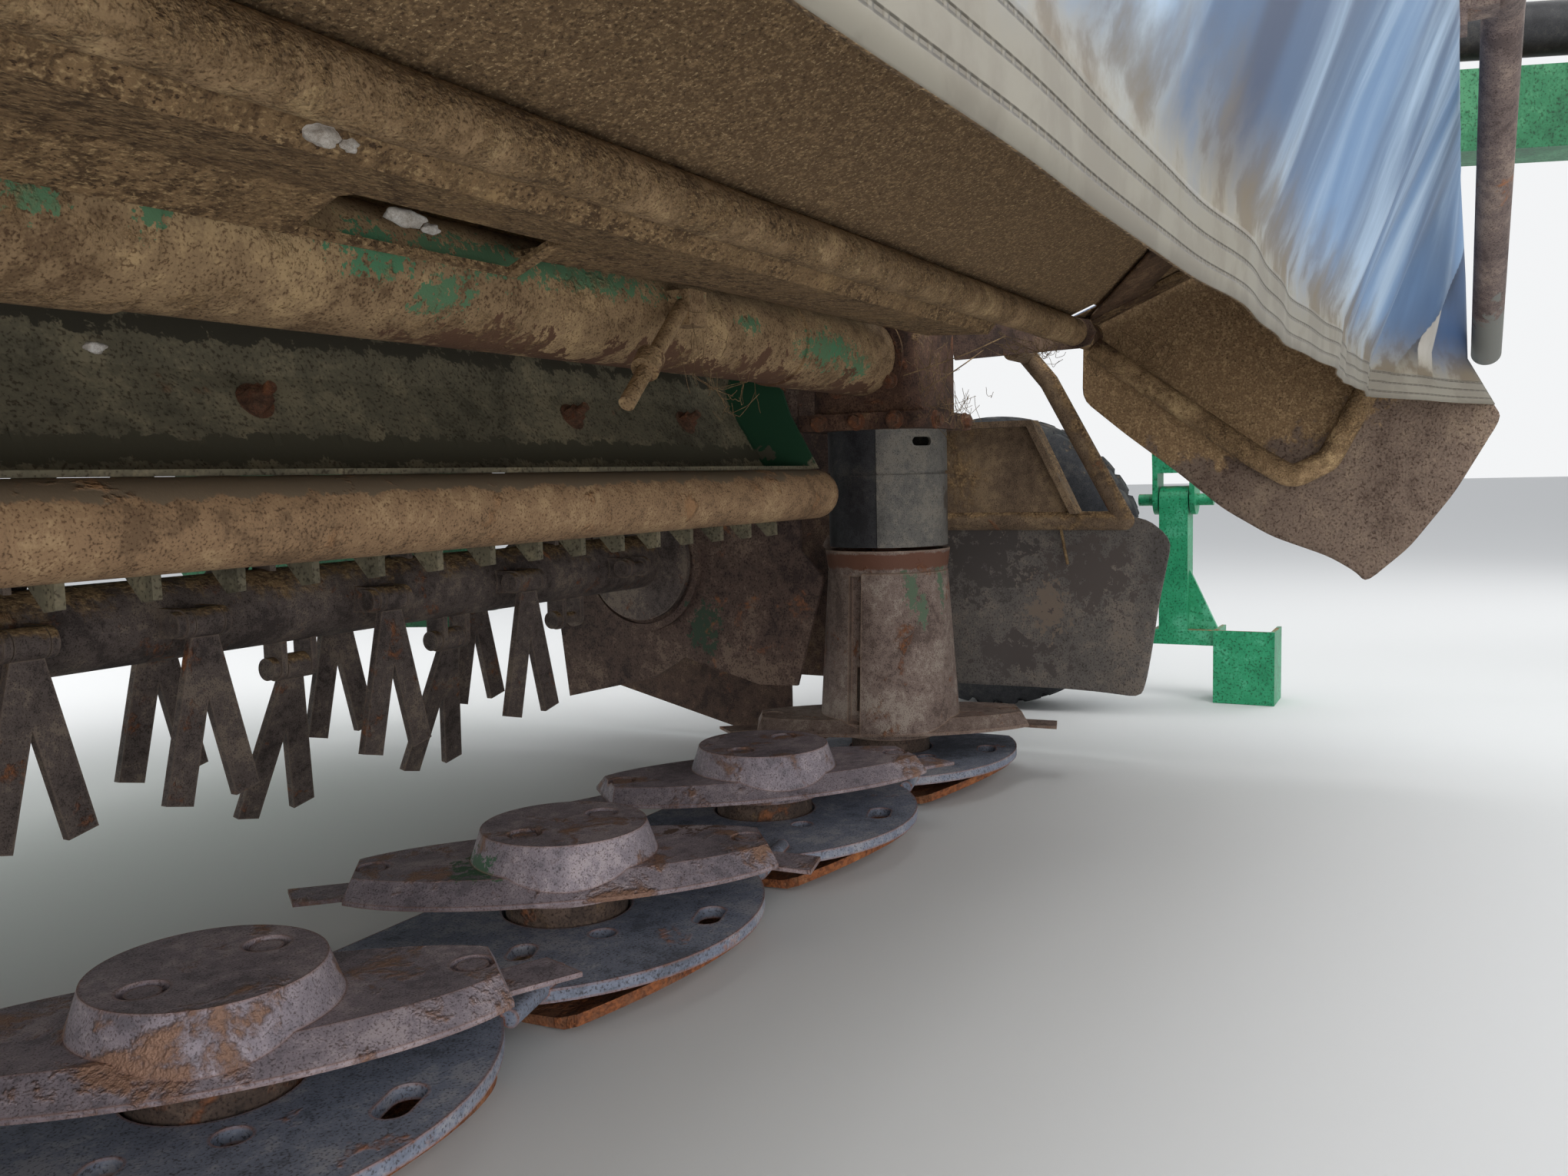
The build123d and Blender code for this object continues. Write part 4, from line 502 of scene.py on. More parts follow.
dress(weathered(
    "bellows_grey", ((112, 118, 122), (138, 144, 148), (164, 168, 168)), scale=16.0, rough=0.5, dust=0.2,
    relief=0.2), "transfer_shaft")
dress(weathered(
    "barrel_paint", ((32, 34, 36), (46, 48, 50), (70, 70, 70)), rough=0.4, rust=0.08, dust=0.2, upward=0.5,
    relief=0.2), "lift_barrel_left", "lift_barrel_right", "swing_barrel")
dress(weathered(
    "rod_chrome", ((150, 152, 156), (176, 178, 182), (198, 200, 202)), scale=20.0, rough=0.22, metal=0.9,
    dust=0.06, relief=0.05), "lift_rod_left", "lift_rod_right", "swing_rod")
dress(weathered(
    "rim_paint", ((150, 148, 140), (172, 170, 162), (190, 188, 180)), rough=0.5, rust=0.16, dust=0.25,
    relief=0.2), "rim_left", "rim_right")

# Guard tubes.
# The front rail is scuffed and dusted, paler above. The hinge tube and the loops are buried in pale
# chaff, darker up the left-hand loop.
dress(weathered(
    "rail_dust", ((84, 70, 66), (110, 94, 88), (140, 122, 110)), scale=12.0, rough=0.7,
    patches=[((1400, -820, 860), (300, 90, 16), (176, 156, 128), 0.5),
             ((1400, -820, 600), (300, 90, 60), (112, 112, 106), 0.6)], rust=0.25, dust=0.25, upward=0.5,
    relief=0.4), "bumper")
LOOP_TONE = (84, 62, 46)
loop_patches = [((1406, -250 - 485 * t, 673 + 207 * t), (40, 110, 60), LOOP_TONE, 0.25)
                for t in (0.15, 0.5, 0.85)]
dress(weathered(
    "hinge_dust", ((122, 98, 70), (160, 132, 98), (188, 160, 118)), scale=10.0, rough=0.95,
    patches=loop_patches, rust=0.10, dust=0.60, dust_scale=90.0, relief=1.0), "guard_frame")


# Sheets of cloth and rubber.
# Helpers for a grid of points with its own cloth coordinates, thickened by a modifier: u runs along
# the machine and v up from the hem, both in metres, and the hem's rows of stitches follow v.


def place_on(points, share):
    """The point at a share of the length of a line of points."""
    lengths = [(b - a).length for a, b in zip(points, points[1:])]
    left = share * sum(lengths)
    for (a, b), run in zip(zip(points, points[1:]), lengths):
        if left <= run:
            return a.lerp(b, left / run)
        left -= run
    return points[-1].copy()


def finished(mesh, material, body, thick=0.0):
    """Links a smoothly shaded mesh as a piece of its name on a body, thickened where asked."""
    made = bpy.data.objects.new(mesh.name, mesh)
    mesh.materials.append(material)
    scene.collection.objects.link(made)
    for face in mesh.polygons:
        face.use_smooth = True
    if thick:
        solid = made.modifiers.new("thickness", "SOLIDIFY")
        solid.thickness = thick
        solid.offset = 0.0
    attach(made, body)
    return made


def woven_grid(name, across, down, point, left_out=frozenset()):
    """A mesh of across by down cells; point(a, d) gives the place and the cloth coordinates."""
    mesh = bpy.data.meshes.new(name)
    spots = [point(i / across, j / down) for j in range(down + 1) for i in range(across + 1)]
    row = across + 1
    faces = [(j * row + i, j * row + i + 1, (j + 1) * row + i + 1, (j + 1) * row + i)
             for j in range(down) for i in range(across) if (i, j) not in left_out]
    mesh.from_pydata([spot for spot, _ in spots], [], faces)
    layer = mesh.uv_layers.new(name="cloth")
    for loop in mesh.loops:
        layer.data[loop.index].uv = spots[loop.vertex_index][1]
    return mesh


def baked(name, shape):
    """A mesh made from a shape built up in memory."""
    mesh = bpy.data.meshes.new(name)
    shape.to_mesh(mesh)
    shape.free()
    return mesh


def gentle(share):
    """A smooth step from 0 to 1."""
    share = min(max(share, 0.0), 1.0)
    return share * share * (3 - 2 * share)


HINGE_Y, HINGE_Z, HINGE_R = -250.0, 673.0, 21.0
FRONT_Y, FRONT_Z, FRONT_R = -735.0, 880.0, 17.0
CURTAIN_X = 1452.0
CLOTH = 0.003
CLOTH_GAP = 2.3

# Canvas shader.
# Blue-grey coated cloth. Its outer face has pale and dark streaks down the drape, painted reflections
# of the sky, and is pale with dust near the hem; its inner face is brown, and where the chaff has caked
# it is granular with dark pits.
HEM_HIGH, ROWS_HIGH = 0.036, 0.040
FIRST_ROW, ROW_STEP, STITCH_STEP = 0.0085, 0.006, 0.004


def canvas_material(name, outward, caked, hem=0.0, outer_extra=None, chaff=((118, 94, 67), (164, 135, 98))):
    """Cloth seen from outside along the outward normal, and caked with chaff on its inner face."""
    made, tree, output = new_material(name)
    place = wire(tree, "ShaderNodeTexCoord").outputs["Object"]
    cloth = wire(tree, "ShaderNodeUVMap", uv_map="cloth").outputs[0]
    normal = wire(tree, "ShaderNodeNewGeometry").outputs["Normal"]
    facing = vector(tree, "DOT_PRODUCT", normal, outward)["Value"]
    outside = between(tree, facing, -0.1, 0.1)
    parts = wire(tree, "ShaderNodeSeparateXYZ", {0: cloth}).outputs
    along, up = parts["X"], parts["Y"]
    reflection_streak = grain(tree, stretched(tree, cloth, (1.0, 0.30, 1.0)), 8.0, 5.0, 0.52, 0.4)
    wash = grain(tree, stretched(tree, cloth, (1.0, 0.45, 1.0)), 3.4, 3.0, 0.45, 0.3)
    blotch = grain(tree, place, 16.0, 6.0, 0.60, 0.2)
    # The pale and dark streaks on the outer face are painted reflections of the sky.
    dark, middle, light = screen(76, 97, 127), screen(108, 139, 176), screen(172, 194, 216)
    blue = blended(tree, between(tree, wash, 0.36, 0.56), dark, middle)
    blue = blended(tree, between(tree, reflection_streak, 0.44, 0.72), blue, light)
    blue = blended(tree, times(tree, between(tree, reflection_streak, 0.46, 0.32), 0.6), blue, dark)
    if outer_extra:
        blue = outer_extra(tree, along, up, reflection_streak, blue)
    cake = effect(tree, caked_dust, Where=place, Scale=110.0, Amount=0.9)
    outer, height = blue, times(tree, reflection_streak, 0.10)
    if hem:
        ragged = plus(tree, up, times(tree, minus(tree, blotch, 0.5), 0.11))
        blotched = between(tree, blotch, 0.44, 0.56)
        pale_dust = blended(tree, blotched, screen(112, 100, 82), screen(146, 138, 120))
        outer = blended(tree, between(tree, ragged, hem + 0.05, hem - 0.03), outer, pale_dust)
        band = between(tree, up, HEM_HIGH, HEM_HIGH - 0.003)
        outer = blended(tree, times(tree, band, 0.7), outer, screen(126, 121, 110))
        rows = reckon(tree, "PINGPONG", minus(tree, up, FIRST_ROW), ROW_STEP)
        thread = between(tree, rows, 0.0014, 0.0004)
        line = times(tree, thread, between(tree, up, ROWS_HIGH, ROWS_HIGH - 0.003))
        stitch = reckon(tree, "PINGPONG", along, STITCH_STEP)
        stitch = plus(tree, times(tree, between(tree, stitch, 0.0008, 0.002), 0.5), 0.5)
        line = times(tree, line, stitch)
        outer = blended(tree, times(tree, line, 0.5), outer, screen(84, 76, 64))
        height = minus(tree, plus(tree, height, times(tree, band, 0.3)), times(tree, line, 0.5))
    pores = grain(tree, place, 330.0, 3.0, 0.6)
    pits = between(tree, pores, 0.40, 0.32)
    raised = between(tree, cake["Height"], 0.30, 0.50)
    inner_low = blended(tree, raised, screen(*chaff[0]), screen(*chaff[1]))
    inner_low = blended(tree, times(tree, pits, 0.6), inner_low, screen(70, 53, 36))
    inner_low = blended(tree, between(tree, pores, 0.58, 0.68), inner_low, screen(192, 164, 124))
    plain = effect(tree, mottled, Where=place, Scale=6.0, Dark=screen(110, 92, 80),
                   Middle=screen(132, 113, 99), Light=screen(150, 130, 111))["Color"]
    inner = blended(tree, caked(tree, place), plain, inner_low)
    tone = blended(tree, outside, inner, outer)
    values = {0: outside, 2: minus(tree, cake["Height"], times(tree, pits, 0.35)), 3: height}
    relief = wire(tree, "ShaderNodeMix", values, data_type="FLOAT").outputs[0]
    rough = wire(tree, "ShaderNodeMapRange", {"Value": outside, "To Min": DRY, "To Max": 0.55}).outputs[0]
    bump = wire(tree, "ShaderNodeBump", {"Strength": 0.9, "Distance": 0.005, "Height": relief}).outputs[0]
    values = {"Base Color": tone, "Roughness": rough, "Normal": bump, "Specular IOR Level": 0.4}
    lit = wire(tree, "ShaderNodeBsdfPrincipled", values)
    tree.links.new(lit.outputs[0], output.inputs["Surface"])
    return made


def everywhere(tree, place):
    """Caked all over."""
    return 1.0


# Top canvas.
# One sheet over the hinge tube and the front tube, sagging a little between them, with a notch at each
# end plate, whose hinge lug comes through when the guard folds up.
CANVAS_LAP = 14.0
CANVAS_SAG, CANVAS_WAVE = 3.0, 2.0
slope = Vector((0.0, FRONT_Y - HINGE_Y, FRONT_Z - HINGE_Z)).normalized()
over = Vector((0.0, slope.z, -slope.y))
canvas_low = Vector((0.0, HINGE_Y, HINGE_Z)) + over * (HINGE_R + CLOTH_GAP)
canvas_high = Vector((0.0, FRONT_Y, FRONT_Z)) + over * (FRONT_R + CLOTH_GAP) + slope * CANVAS_LAP
canvas_size = (2 * CURTAIN_X / 1000, (canvas_high - canvas_low).length / 1000)


def canvas_point(a, d):
    """A point of the top canvas, a share a across it and d up from the hinge, and its cloth place."""
    x = -CURTAIN_X + 2 * CURTAIN_X * a
    spot = canvas_low.lerp(canvas_high, d)
    sag = math.sin(math.pi * d) * (CANVAS_SAG + CANVAS_WAVE * noise.noise(Vector((x / 160, d * 5, 3.0))))
    return at(x, spot.y, spot.z - sag), (x / 1000, d * canvas_size[1])


CANVAS_ACROSS, CANVAS_DOWN = 240, 36
NOTCH_FROM, NOTCH_TO, NOTCH_ROWS = 1332.0, 1358.0, 3
notches = {(i, j) for i in range(CANVAS_ACROSS) for j in range(NOTCH_ROWS)
           if NOTCH_FROM <= abs(2 * CURTAIN_X * (i + 0.5) / CANVAS_ACROSS - CURTAIN_X) <= NOTCH_TO}
canvas_mesh = woven_grid("top_canvas_cloth", CANVAS_ACROSS, CANVAS_DOWN, canvas_point, notches)
canvas_cloth = canvas_material("canvas_top", (0.0, 0.0, 1.0), everywhere)
canvas = finished(canvas_mesh, canvas_cloth, "front_guard", thick=CLOTH)
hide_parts("top_canvas")

# Braces.
# A flat dark strap runs slantwise under the canvas from each end of the hinge tube to the front tube.
BRACE_HALF, BRACE_DROP, BRACE_THICK = 37.0, 11.0, 0.004
BRACE_FROM, BRACE_TO = Vector((1393.0, -296.0)), Vector((764.0, -712.0))
brace_iron = weathered(
    "brace_iron", ((70, 51, 38), (98, 75, 56), (126, 100, 75)), scale=12.0, rough=0.9, rust=0.2, dust=0.2,
    relief=0.6)


def brace_mesh(name, side):
    """A flat strip just under the canvas, from BRACE_FROM to BRACE_TO on one side."""
    run = (BRACE_TO - BRACE_FROM).normalized()
    across = Vector((run.y, -run.x))

    def point(a, d):
        spot = BRACE_FROM.lerp(BRACE_TO, d) + across * BRACE_HALF * (2 * a - 1)
        share = (spot.y - canvas_low.y) / (canvas_high.y - canvas_low.y)
        return at(side * spot.x, spot.y, canvas_low.lerp(canvas_high, share).z - BRACE_DROP), (a, d)

    return woven_grid(name, 2, 24, point)


for side, name in SIDES:
    finished(brace_mesh(f"brace_{name}", side), brace_iron, "front_guard", thick=BRACE_THICK)

# Front curtain.
# It hangs from the front tube, close to it in the middle and flaring out at the ends, with soft folds
# that deepen towards the stitched hem.
TOP_Y = FRONT_Y - FRONT_R - 6.3
HUNG, FLARED = (
    [Vector((0, TOP_Y, 892)), Vector((0, TOP_Y - 1, 850))] + [Vector((0, y, z)) for y, z in below]
    for below in (((-708, 720), (-664, 600), (-661, 551)), ((-768, 720), (-773, 606), (-808, 541))))
FLARE_FROM = 1252.0
CURTAIN_DROP = 0.355
WING_FOOT, WING_SLOPE, WING_PUSH = 1.256, 0.85, 7.0
# Each fold has its middle, its width and its push, and leans by FOLD_LEAN from the hem to the top.
FOLD_LEAN = 40.0
FOLDS = [(700, 60, 9), (930, 45, -7), (1120, 50, 8), (1250, 26, -6), (1345, 24, 7), (430, 70, -7),
         (160, 80, 6)]
# Where the painted shade of the fold near the middle lies, in metres along the curtain.
SHADED_FOLD_AT = 0.075
STRIP_FROM, STRIP_TO, STRIP_TOP = 1.342, 1.36, 0.204


def curtain_point(a, d):
    """A point of the front curtain, a share a across it and d down it, and its cloth place."""
    x = -CURTAIN_X + 2 * CURTAIN_X * a
    flare = min(max((abs(x) - FLARE_FROM) / (CURTAIN_X - FLARE_FROM), 0.0), 1.0)
    spot = place_on(HUNG, d).lerp(place_on(FLARED, d), flare)
    depth = gentle(d * 1.6) * (1.0 - 0.35 * gentle((d - 0.7) / 0.3))
    push = sum(height * math.exp(-((x - middle - FOLD_LEAN * (1 - d)) / width) ** 2)
               for middle, width, height in FOLDS)
    push += 3.0 * noise.noise(Vector((x / 130, d * 1.4, 7.0)))
    fade = 1.0 - gentle((abs(x) - 1400) / 50)
    high = (1 - d) * CURTAIN_DROP
    wing = gentle((abs(x) / 1000 - WING_FOOT - WING_SLOPE * high) / 0.014)
    return at(x, spot.y - push * depth * fade + WING_PUSH * wing * fade, spot.z), (x / 1000, high)


def curtain_painted_light(tree, along, up, reflection_streak, blue):
    """Painted shade in a fold near the middle and on the navy left-hand wing, and a painted sunlit strip."""
    # Painted shade along the fold near the middle.
    lean_in = plus(tree, times(tree, minus(tree, reflection_streak, 0.5), 0.10), along)
    fold_shade = between(tree, reckon(tree, "ABSOLUTE", minus(tree, lean_in, SHADED_FOLD_AT)), 0.040, 0.012)
    blue = blended(tree, times(tree, fold_shade, 0.85), blue, screen(62, 72, 96))
    # Painted shade over the navy wing at the left-hand end, with a painted sunlit strip near its edge.
    edge_at = plus(tree, times(tree, up, WING_SLOPE), WING_FOOT)
    in_shaded_wing = between(tree, minus(tree, along, edge_at), 0.002, 0.008)
    shaded_navy = blended(tree, between(tree, reflection_streak, 0.42, 0.62), screen(36, 46, 68), screen(70, 92, 126))
    strip_near = minus(tree, STRIP_FROM, times(tree, up, 0.03))
    lit_from = between(tree, minus(tree, along, strip_near), 0.0, 0.003)
    strip_far = plus(tree, STRIP_TO, times(tree, up, 0.235))
    lit_to = between(tree, minus(tree, along, strip_far), 0.003, 0.0)
    strip = times(tree, times(tree, lit_from, lit_to), between(tree, up, STRIP_TOP, STRIP_TOP - 0.006))
    shaded_navy = blended(tree, times(tree, strip, 0.85), shaded_navy, screen(196, 190, 180))
    return blended(tree, in_shaded_wing, blue, shaded_navy)


curtain_mesh = woven_grid("front_curtain_cloth", 420, 44, curtain_point)
curtain_cloth = canvas_material(
    "canvas_front", (0.0, -1.0, 0.0), everywhere, hem=0.055, outer_extra=curtain_painted_light)
curtain = finished(curtain_mesh, curtain_cloth, "front_guard", thick=CLOTH)
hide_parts("front_curtain")


# Cut sheets.
# A flat sheet cut to an outline is filled with triangles, cut again about every SHEET_STEP, and then
# bulged by a function of its place, for the side curtains and the end flaps.
SHEET_STEP, CORNER_R = 16.0, 18.0


def rounded_outline(points):
    """A closed outline with its corners rounded and its points about a step apart."""
    corners = []
    for before, here, after in zip(points[-1:] + points[:-1], points, points[1:] + points[:1]):
        into = (here - before).normalized() * min(CORNER_R, (here - before).length * 0.4)
        out = (after - here).normalized() * min(CORNER_R, (after - here).length * 0.4)
        start, end = here - into, here + out
        corners += [start.lerp(here, t).lerp(here.lerp(end, t), t) for t in (0.0, 0.33, 0.67, 1.0)]
    outline = []
    for a, b in zip(corners, corners[1:] + corners[:1]):
        parts = max(1, round((b - a).length / SHEET_STEP))
        outline += [a.lerp(b, k / parts) for k in range(parts)]
    return outline


def cut_sheet(name, outline, side, x, bulge):
    """A sheet in the Y, Z plane at x on one side, with each point pushed outwards by bulge(y, z)."""
    ring = rounded_outline([Vector(p) for p in outline])
    low = Vector((min(p.x for p in ring), min(p.y for p in ring)))
    high = Vector((max(p.x for p in ring), max(p.y for p in ring)))
    shape = bmesh.new()
    edge = [shape.verts.new((p.x, p.y, 0.0)) for p in ring]
    for a, b in zip(edge, edge[1:] + edge[:1]):
        shape.edges.new((a, b))
    bmesh.ops.triangle_fill(shape, edges=shape.edges[:], use_beauty=True)
    for axis, facing in ((0, Vector((1, 0, 0))), (1, Vector((0, 1, 0)))):
        for cut in range(int((high[axis] - low[axis]) / SHEET_STEP)):
            spot = facing * (low[axis] + (cut + 0.5) * SHEET_STEP)
            whole = shape.verts[:] + shape.edges[:] + shape.faces[:]
            bmesh.ops.bisect_plane(shape, geom=whole, plane_co=spot, plane_no=facing)
    bmesh.ops.remove_doubles(shape, verts=shape.verts[:], dist=0.5)
    layer = shape.loops.layers.uv.new("cloth")
    for face in shape.faces:
        for loop in face.loops:
            loop[layer].uv = (loop.vert.co.x / 1000, loop.vert.co.y / 1000)
    for vert in shape.verts:
        y, z = vert.co.x, vert.co.y
        vert.co = at(side * (x + bulge(y, z)), y, z)
    bmesh.ops.recalc_face_normals(shape, faces=shape.faces[:])
    return baked(name, shape)


# Side curtains.
# A triangular wing at each end of the guard, caked with chaff inside the loop of tube and smoother
# brown outside it, coming down to a point behind the front corner.
WING = [(-234, 676), (-234, 706), (-752, 896), (-758, 850), (-766, 720), (-771, 606), (-808, 541),
        (-818, 524), (-762, 420), (-706, 342), (-650, 290), (-636, 306), (-600, 328), (-520, 358),
        (-450, 400), (-380, 458), (-300, 520), (-232, 577)]
# The top canvas's chaff painted brighter: painted light that lifts the wing's shade.
WING_CHAFF_BRIGHTENED = ((150, 121, 88), (200, 168, 126))


def wing_bulge(y, z):
    """Soft waves, calmer in the upper part, with the lower point drawn in a little."""
    upper = gentle((z - 300) / 260)
    wave = 5.0 * noise.noise(Vector((y / 150, z / 150, 5.0)))
    return 4.0 + wave * (1.0 - 0.5 * upper) - 3.0 * (1 - upper)


def inside_loop(tree, place):
    """1 where the wing lies inside the loop of tube."""
    return effect(tree, ragged_patch, Where=place, Centre=at(CURTAIN_X, -430, 640), Reach=(0.10, 0.26, 0.17),
                  Raggedness=0.25)["Mask"]


for side, name in SIDES:
    wing_mesh = cut_sheet(f"side_curtain_{name}", WING, side, CURTAIN_X + CLOTH_GAP, wing_bulge)
    outward = (float(side), 0.0, 0.0)
    wing_cloth = canvas_material(f"canvas_side_{name}", outward, inside_loop, chaff=WING_CHAFF_BRIGHTENED)
    wing = finished(wing_mesh, wing_cloth, "front_guard", thick=CLOTH)
    if side > 0:
        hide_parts("side_curtains")

# End flaps.
# A thick rubber flap hangs from the tube at each end, its lower front corner curled inwards.
FLAP = [(110, 392), (-296, 392), (-340, 384), (-374, 352), (-354, 250), (-338, 130), (-330, 104),
        (-200, 108), (110, 106)]
FLAP_X, FLAP_THICK = 1446.5, 0.005


def flap_bulge(y, z):
    """The curl of the corner and an upright crease, with slight waves."""
    corner = math.exp(-((y + 330) ** 2 + (z - 110) ** 2) / 50 ** 2)
    crease = math.exp(-((y + 60) / 30) ** 2) * gentle((300 - z) / 150)
    return 4.0 * noise.noise(Vector((y / 110, z / 110, 1.0))) - 14.0 * corner - 4.0 * crease + 3.0


flap_rubber = weathered(
    "flap_rubber", ((88, 83, 80), (105, 99, 94), (124, 114, 105)), scale=8.0, rough=0.85,
    patches=[((1446, -60, 330), (40, 80, 60), (80, 74, 71), 1.4, 60.0),
             ((1446, -180, 240), (40, 30, 40), (122, 108, 96), 1.2, 60.0),
             ((1446, -250, 300), (40, 60, 50), (88, 80, 76), 1.5, 50.0),
             ((1446, -120, 160), (40, 60, 30), (84, 77, 74), 1.5, 50.0),
             ((-1446, -60, 330), (40, 70, 60), (80, 74, 71), 1.4, 60.0)], dust=0.26, dust_scale=50.0,
    relief=0.6)
for side, name in SIDES:
    flap_mesh = cut_sheet(f"end_flap_{name}", FLAP, side, FLAP_X, flap_bulge)
    flap = finished(flap_mesh, flap_rubber, "header", thick=FLAP_THICK)
    if side > 0:
        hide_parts("end_flaps")

# Tyres.
# Each tyre is a ring of points round the axle, with grooves and staggered blocks cut in the tread.
TYRE_R = 287.0
WHEEL_X, WHEEL_Y, WHEEL_Z = 1860.0, 47.0, 288.0
AROUND, BLOCKS = 288, 36
CROWN_DROP, GROOVE_DEEP, BLOCK_DEEP, BLOCK_GAP = 9.0, 10.0, 8.0, 0.26
FLANK = [(-56, 166), (-70, 172), (-84, 190), (-89, 226), (-86, 250), (-80, 264)]
TREAD = [-66, -48, -44, -40, -22, -6, -2, 2, 6, 22, 40, 44, 48, 66]


def tyre_ring():
    """The tyre's outline across the tread, as (across, radius, depth of its blocks)."""
    ring = [(x, r, 0.0) for x, r in FLANK]
    for x in TREAD:
        crown = TYRE_R - CROWN_DROP * (x / 80.0) ** 2
        groove = abs(x) in (44, 2)
        ring.append((x, crown - (GROOVE_DEEP if groove else 0.0), 0.0 if groove else 1.0))
    return ring + [(-x, r, 0.0) for x, r in FLANK[::-1]]


def tyre_mesh(name, side):
    """The tyre's outline carried round the axle, with a gap before each block."""
    mesh = bpy.data.meshes.new(name)
    ring = tyre_ring()
    verts = []
    for k in range(AROUND):
        angle = 2 * math.pi * k / AROUND
        for x, r, block in ring:
            slot = (k * BLOCKS / AROUND + (0.5 if x > 0 else 0.0) + abs(x) / 130) % 1.0
            r -= BLOCK_DEEP * block * (slot < BLOCK_GAP)
            y, z = WHEEL_Y + r * math.cos(angle), WHEEL_Z + r * math.sin(angle)
            verts.append(at(side * (WHEEL_X + x), y, z))
    count = len(ring)
    firsts = [k * count for k in range(AROUND)]
    faces = [(here + i, here + i + 1, after + i + 1, after + i)
             for here, after in zip(firsts, firsts[1:] + firsts[:1]) for i in range(count - 1)]
    mesh.from_pydata(verts, [], faces)
    mesh.flip_normals()
    return mesh


tyre_rubber = weathered(
    "tyre_rubber", ((30, 31, 33), (44, 45, 48), (66, 64, 62)), scale=12.0, rough=0.8, dust=0.25, upward=0.1,
    relief=0.3)
for side, name in SIDES:
    tread = finished(tyre_mesh(f"tread_{name}", side), tyre_rubber, f"wheel_{name}")
    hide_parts(f"tyre_{name}")

# Bolts.
# Hexagon heads on their washers, put where the photograph shows them and round each wheel's hub,
# joined into one piece for each body that carries them.
WASHER = 2.5
bolt_iron = weathered(
    "bolt_iron", ((70, 50, 40), (106, 76, 58), (138, 106, 82)), scale=60.0, rough=0.7, rust=0.5,
    rust_scale=60.0, dust=0.3, dust_scale=200.0, relief=0.5)


def add_bolt(shape, place, facing, across=19.0, tall=9.0, stub=0.0):
    """A hexagon head on a washer, and the end of its thread, standing along facing."""
    spin = Vector(facing).normalized().to_track_quat("Z", "Y").to_matrix().to_4x4()
    foot = Matrix.Translation(at(*place)) @ spin
    parts = [(24, across * 0.80, across * 0.78, WASHER, 0.0), (6, across * 0.58, across * 0.54, tall, WASHER)]
    if stub:
        parts.append((16, across * 0.26, across * 0.24, stub, WASHER + tall))
    for sides, low_r, high_r, height, lift in parts:
        rise = foot @ Matrix.Translation((0, 0, (lift + height / 2) / 1000))
        bmesh.ops.create_cone(shape, cap_ends=True, segments=sides, radius1=low_r / 1000,
                              radius2=high_r / 1000, depth=height / 1000, matrix=rise)


def bolt_piece(name, body, bolts):
    """One flat-shaded piece of all the bolts that ride on a body."""
    shape = bmesh.new()
    for bolt in bolts:
        add_bolt(shape, *bolt)
    mesh = baked(name, shape)
    finished(mesh, bolt_iron, body)
    for face in mesh.polygons:
        face.use_smooth = False


HOOD_FACE = (0.0, -0.87, 0.49)
HUB_OUT, NUT_RING, NUTS = 52, 56, 5
hood_bolts = [((x, y, 541), HOOD_FACE, 23.0, 10.0, 14.0)
              for x, y in ((205, 170), (655, 171), (905, 171), (-250, 171), (-700, 171))]
gear_bolts = [((1200 + dx, -104, 542), (0, -1, 0), 17.0, 8.0) for dx in (-60, 60)]
gear_bolts += [((1096, dy, 542), (-1, 0, 0), 17.0, 8.0) for dy in (-60, 0, 60)]
gear_bolts += [((1110, 60 * math.cos(t), 635 + 60 * math.sin(t)), (-1, 0, 0), 15.0, 8.0)
               for t in (0.6, 2.2, 3.8, 5.4)]
bolt_piece("header_bolts", "header", hood_bolts + gear_bolts)
for side, name in SIDES:
    nuts = [((side * (WHEEL_X + HUB_OUT), WHEEL_Y + NUT_RING * math.cos(t), WHEEL_Z + NUT_RING * math.sin(t)),
             (side, 0, 0), 19.0, 12.0, 8.0) for t in [math.tau * k / NUTS for k in range(NUTS)]]
    bolt_piece(f"wheel_nuts_{name}", f"wheel_{name}", nuts)

# Straw and cobwebs.
# Thin dry stems and threads caught round the gearbox, the beam and the hinge, drawn as curves
# between two places with a sag and a little wander.
STRAND_POINTS = 14
WEB_THICK, STEM_THICK = 0.34, 0.9
straw_tan = weathered(
    "straw_tan", ((84, 66, 46), (118, 96, 68), (158, 134, 98)), scale=40.0, rough=0.9, relief=0.1)
strand_seed = random.Random(11)


def strands(name, body, thick, runs):
    """One curve object with a strand for each run of (start, end, sag in mm)."""
    data = bpy.data.curves.new(name, "CURVE")
    data.dimensions = "3D"
    data.bevel_depth = thick / 1000
    data.bevel_resolution = 1
    data.materials.append(straw_tan)
    for start, end, sag in runs:
        line = data.splines.new("POLY")
        line.points.add(STRAND_POINTS - 1)
        shift = strand_seed.random() * 50
        for k in range(STRAND_POINTS):
            t = k / (STRAND_POINTS - 1)
            spot = Vector(start).lerp(Vector(end), t)
            wander = Vector((noise.noise(Vector((t * 3, shift, i))) for i in (0.0, 9.0, 18.0))) * sag * 0.5
            spot += wander * math.sin(math.pi * t) + Vector((0, 0, -sag * math.sin(math.pi * t)))
            line.points[k].co = (*at(*spot), 1.0)
    made = bpy.data.objects.new(name, data)
    scene.collection.objects.link(made)
    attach(made, body)


def tangle(middle, reach, count, sag):
    """Short strands thrown about a place."""
    runs = []
    for _ in range(count):
        ends = [Vector(middle) + Vector([strand_seed.uniform(-r, r) for r in reach]) for _ in range(2)]
        runs.append((ends[0], ends[1], sag * strand_seed.random()))
    return runs


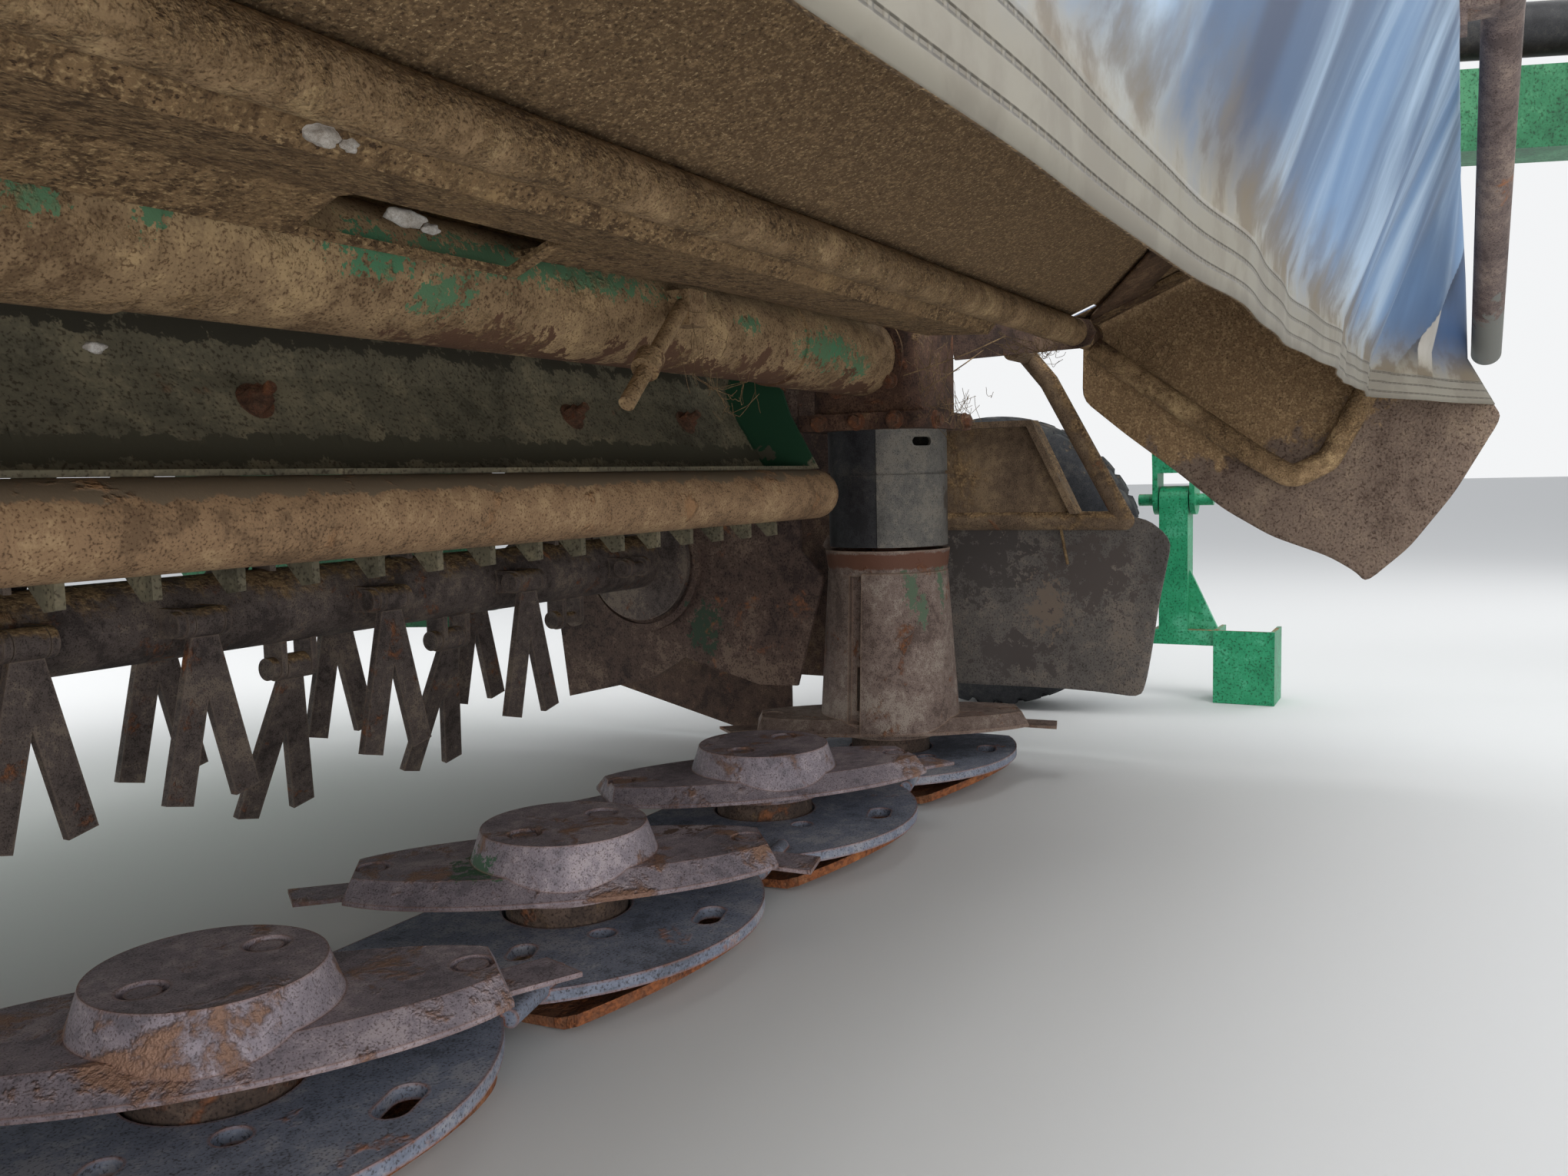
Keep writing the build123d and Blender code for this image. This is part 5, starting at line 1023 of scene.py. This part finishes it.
webs = tangle((1120, -110, 600), (60, 20, 50), 26, 26) + tangle((560, -80, 600), (50, 14, 50), 10, 16)
webs += tangle((1150, -225, 640), (120, 14, 14), 26, 14) + tangle((640, -60, 560), (60, 12, 26), 16, 20)
webs += tangle((1180, -130, 560), (90, 24, 30), 22, 30)
strands("straw_on_header", "header", WEB_THICK, webs)
hinge_webs = tangle((1402, -280, 640), (26, 30, 34), 26, 20) + tangle((1230, -240, 640), (66, 12, 16), 22, 18)
hinge_webs += tangle((1420, -330, 640), (26, 60, 40), 22, 24)
strands("straw_on_guard", "front_guard", WEB_THICK, hinge_webs)
strands("long_stems", "header", STEM_THICK,
        [((1080, -110, 580), (1190, -160, 640), 2), ((1060, -90, 600), (1170, -200, 655), 3),
         ((1054, -90, 635), (1125, -60, 640), 2), ((514, -60, 655), (604, -40, 640), 3)])

# Hook.
# A small bent rod hangs from the left-hand flap frame, under the same dust as the straw. Each of its
# straight lengths is a thick strand with no sag.
HOOK_THICK = 2.6
HOOK = [(1425, -216, 405), (1425, -204, 377), (1425, -211, 339), (1425, -216, 314)]
strands("flap_hook", "header", HOOK_THICK, [(a, b, 0) for a, b in zip(HOOK, HOOK[1:])])

# Lumps.
# Small pale clods stuck to the hinge tube and the hood, and two pale lumps on the beam's top that are
# painted light, standing for sunlight through the gap above it. Each is a ball that is flattened and
# pushed in and out by noise.
pale_clods_and_light_spots = weathered(
    "pale_clods_and_light_spots", ((168, 158, 146), (196, 188, 178), (222, 218, 212)), scale=60.0, rough=0.95, relief=0.4)


def lump_piece(name, body, lumps):
    """Rough flattened pale lumps, each given as (place, half length, half height) in millimetres."""
    shape = bmesh.new()
    for place, half, high in lumps:
        made = bmesh.ops.create_icosphere(shape, subdivisions=3, radius=1.0)
        for vert in made["verts"]:
            swell = 1.0 + 0.45 * noise.noise(vert.co * 1.6 + Vector(place))
            reach = Vector((vert.co.x * half, vert.co.y * high, vert.co.z * high))
            vert.co = at(*place) + reach * swell / 1000
    finished(baked(name, shape), pale_clods_and_light_spots, body)


lump_piece("clods_on_guard", "front_guard", [((-62, -226, 653), 11.0, 6.0), ((-44, -228, 651), 6.0, 3.5)])
# The two lumps on the beam are painted light, for sunlight through the gap; the one on the hood is a clod.
lump_piece("clods_and_light_spots_on_header", "header",
           [((168, -58, 668), 19.0, 7.0), ((196, -56, 664), 9.0, 4.0), ((52, 158, 576), 9.0, 4.5)])
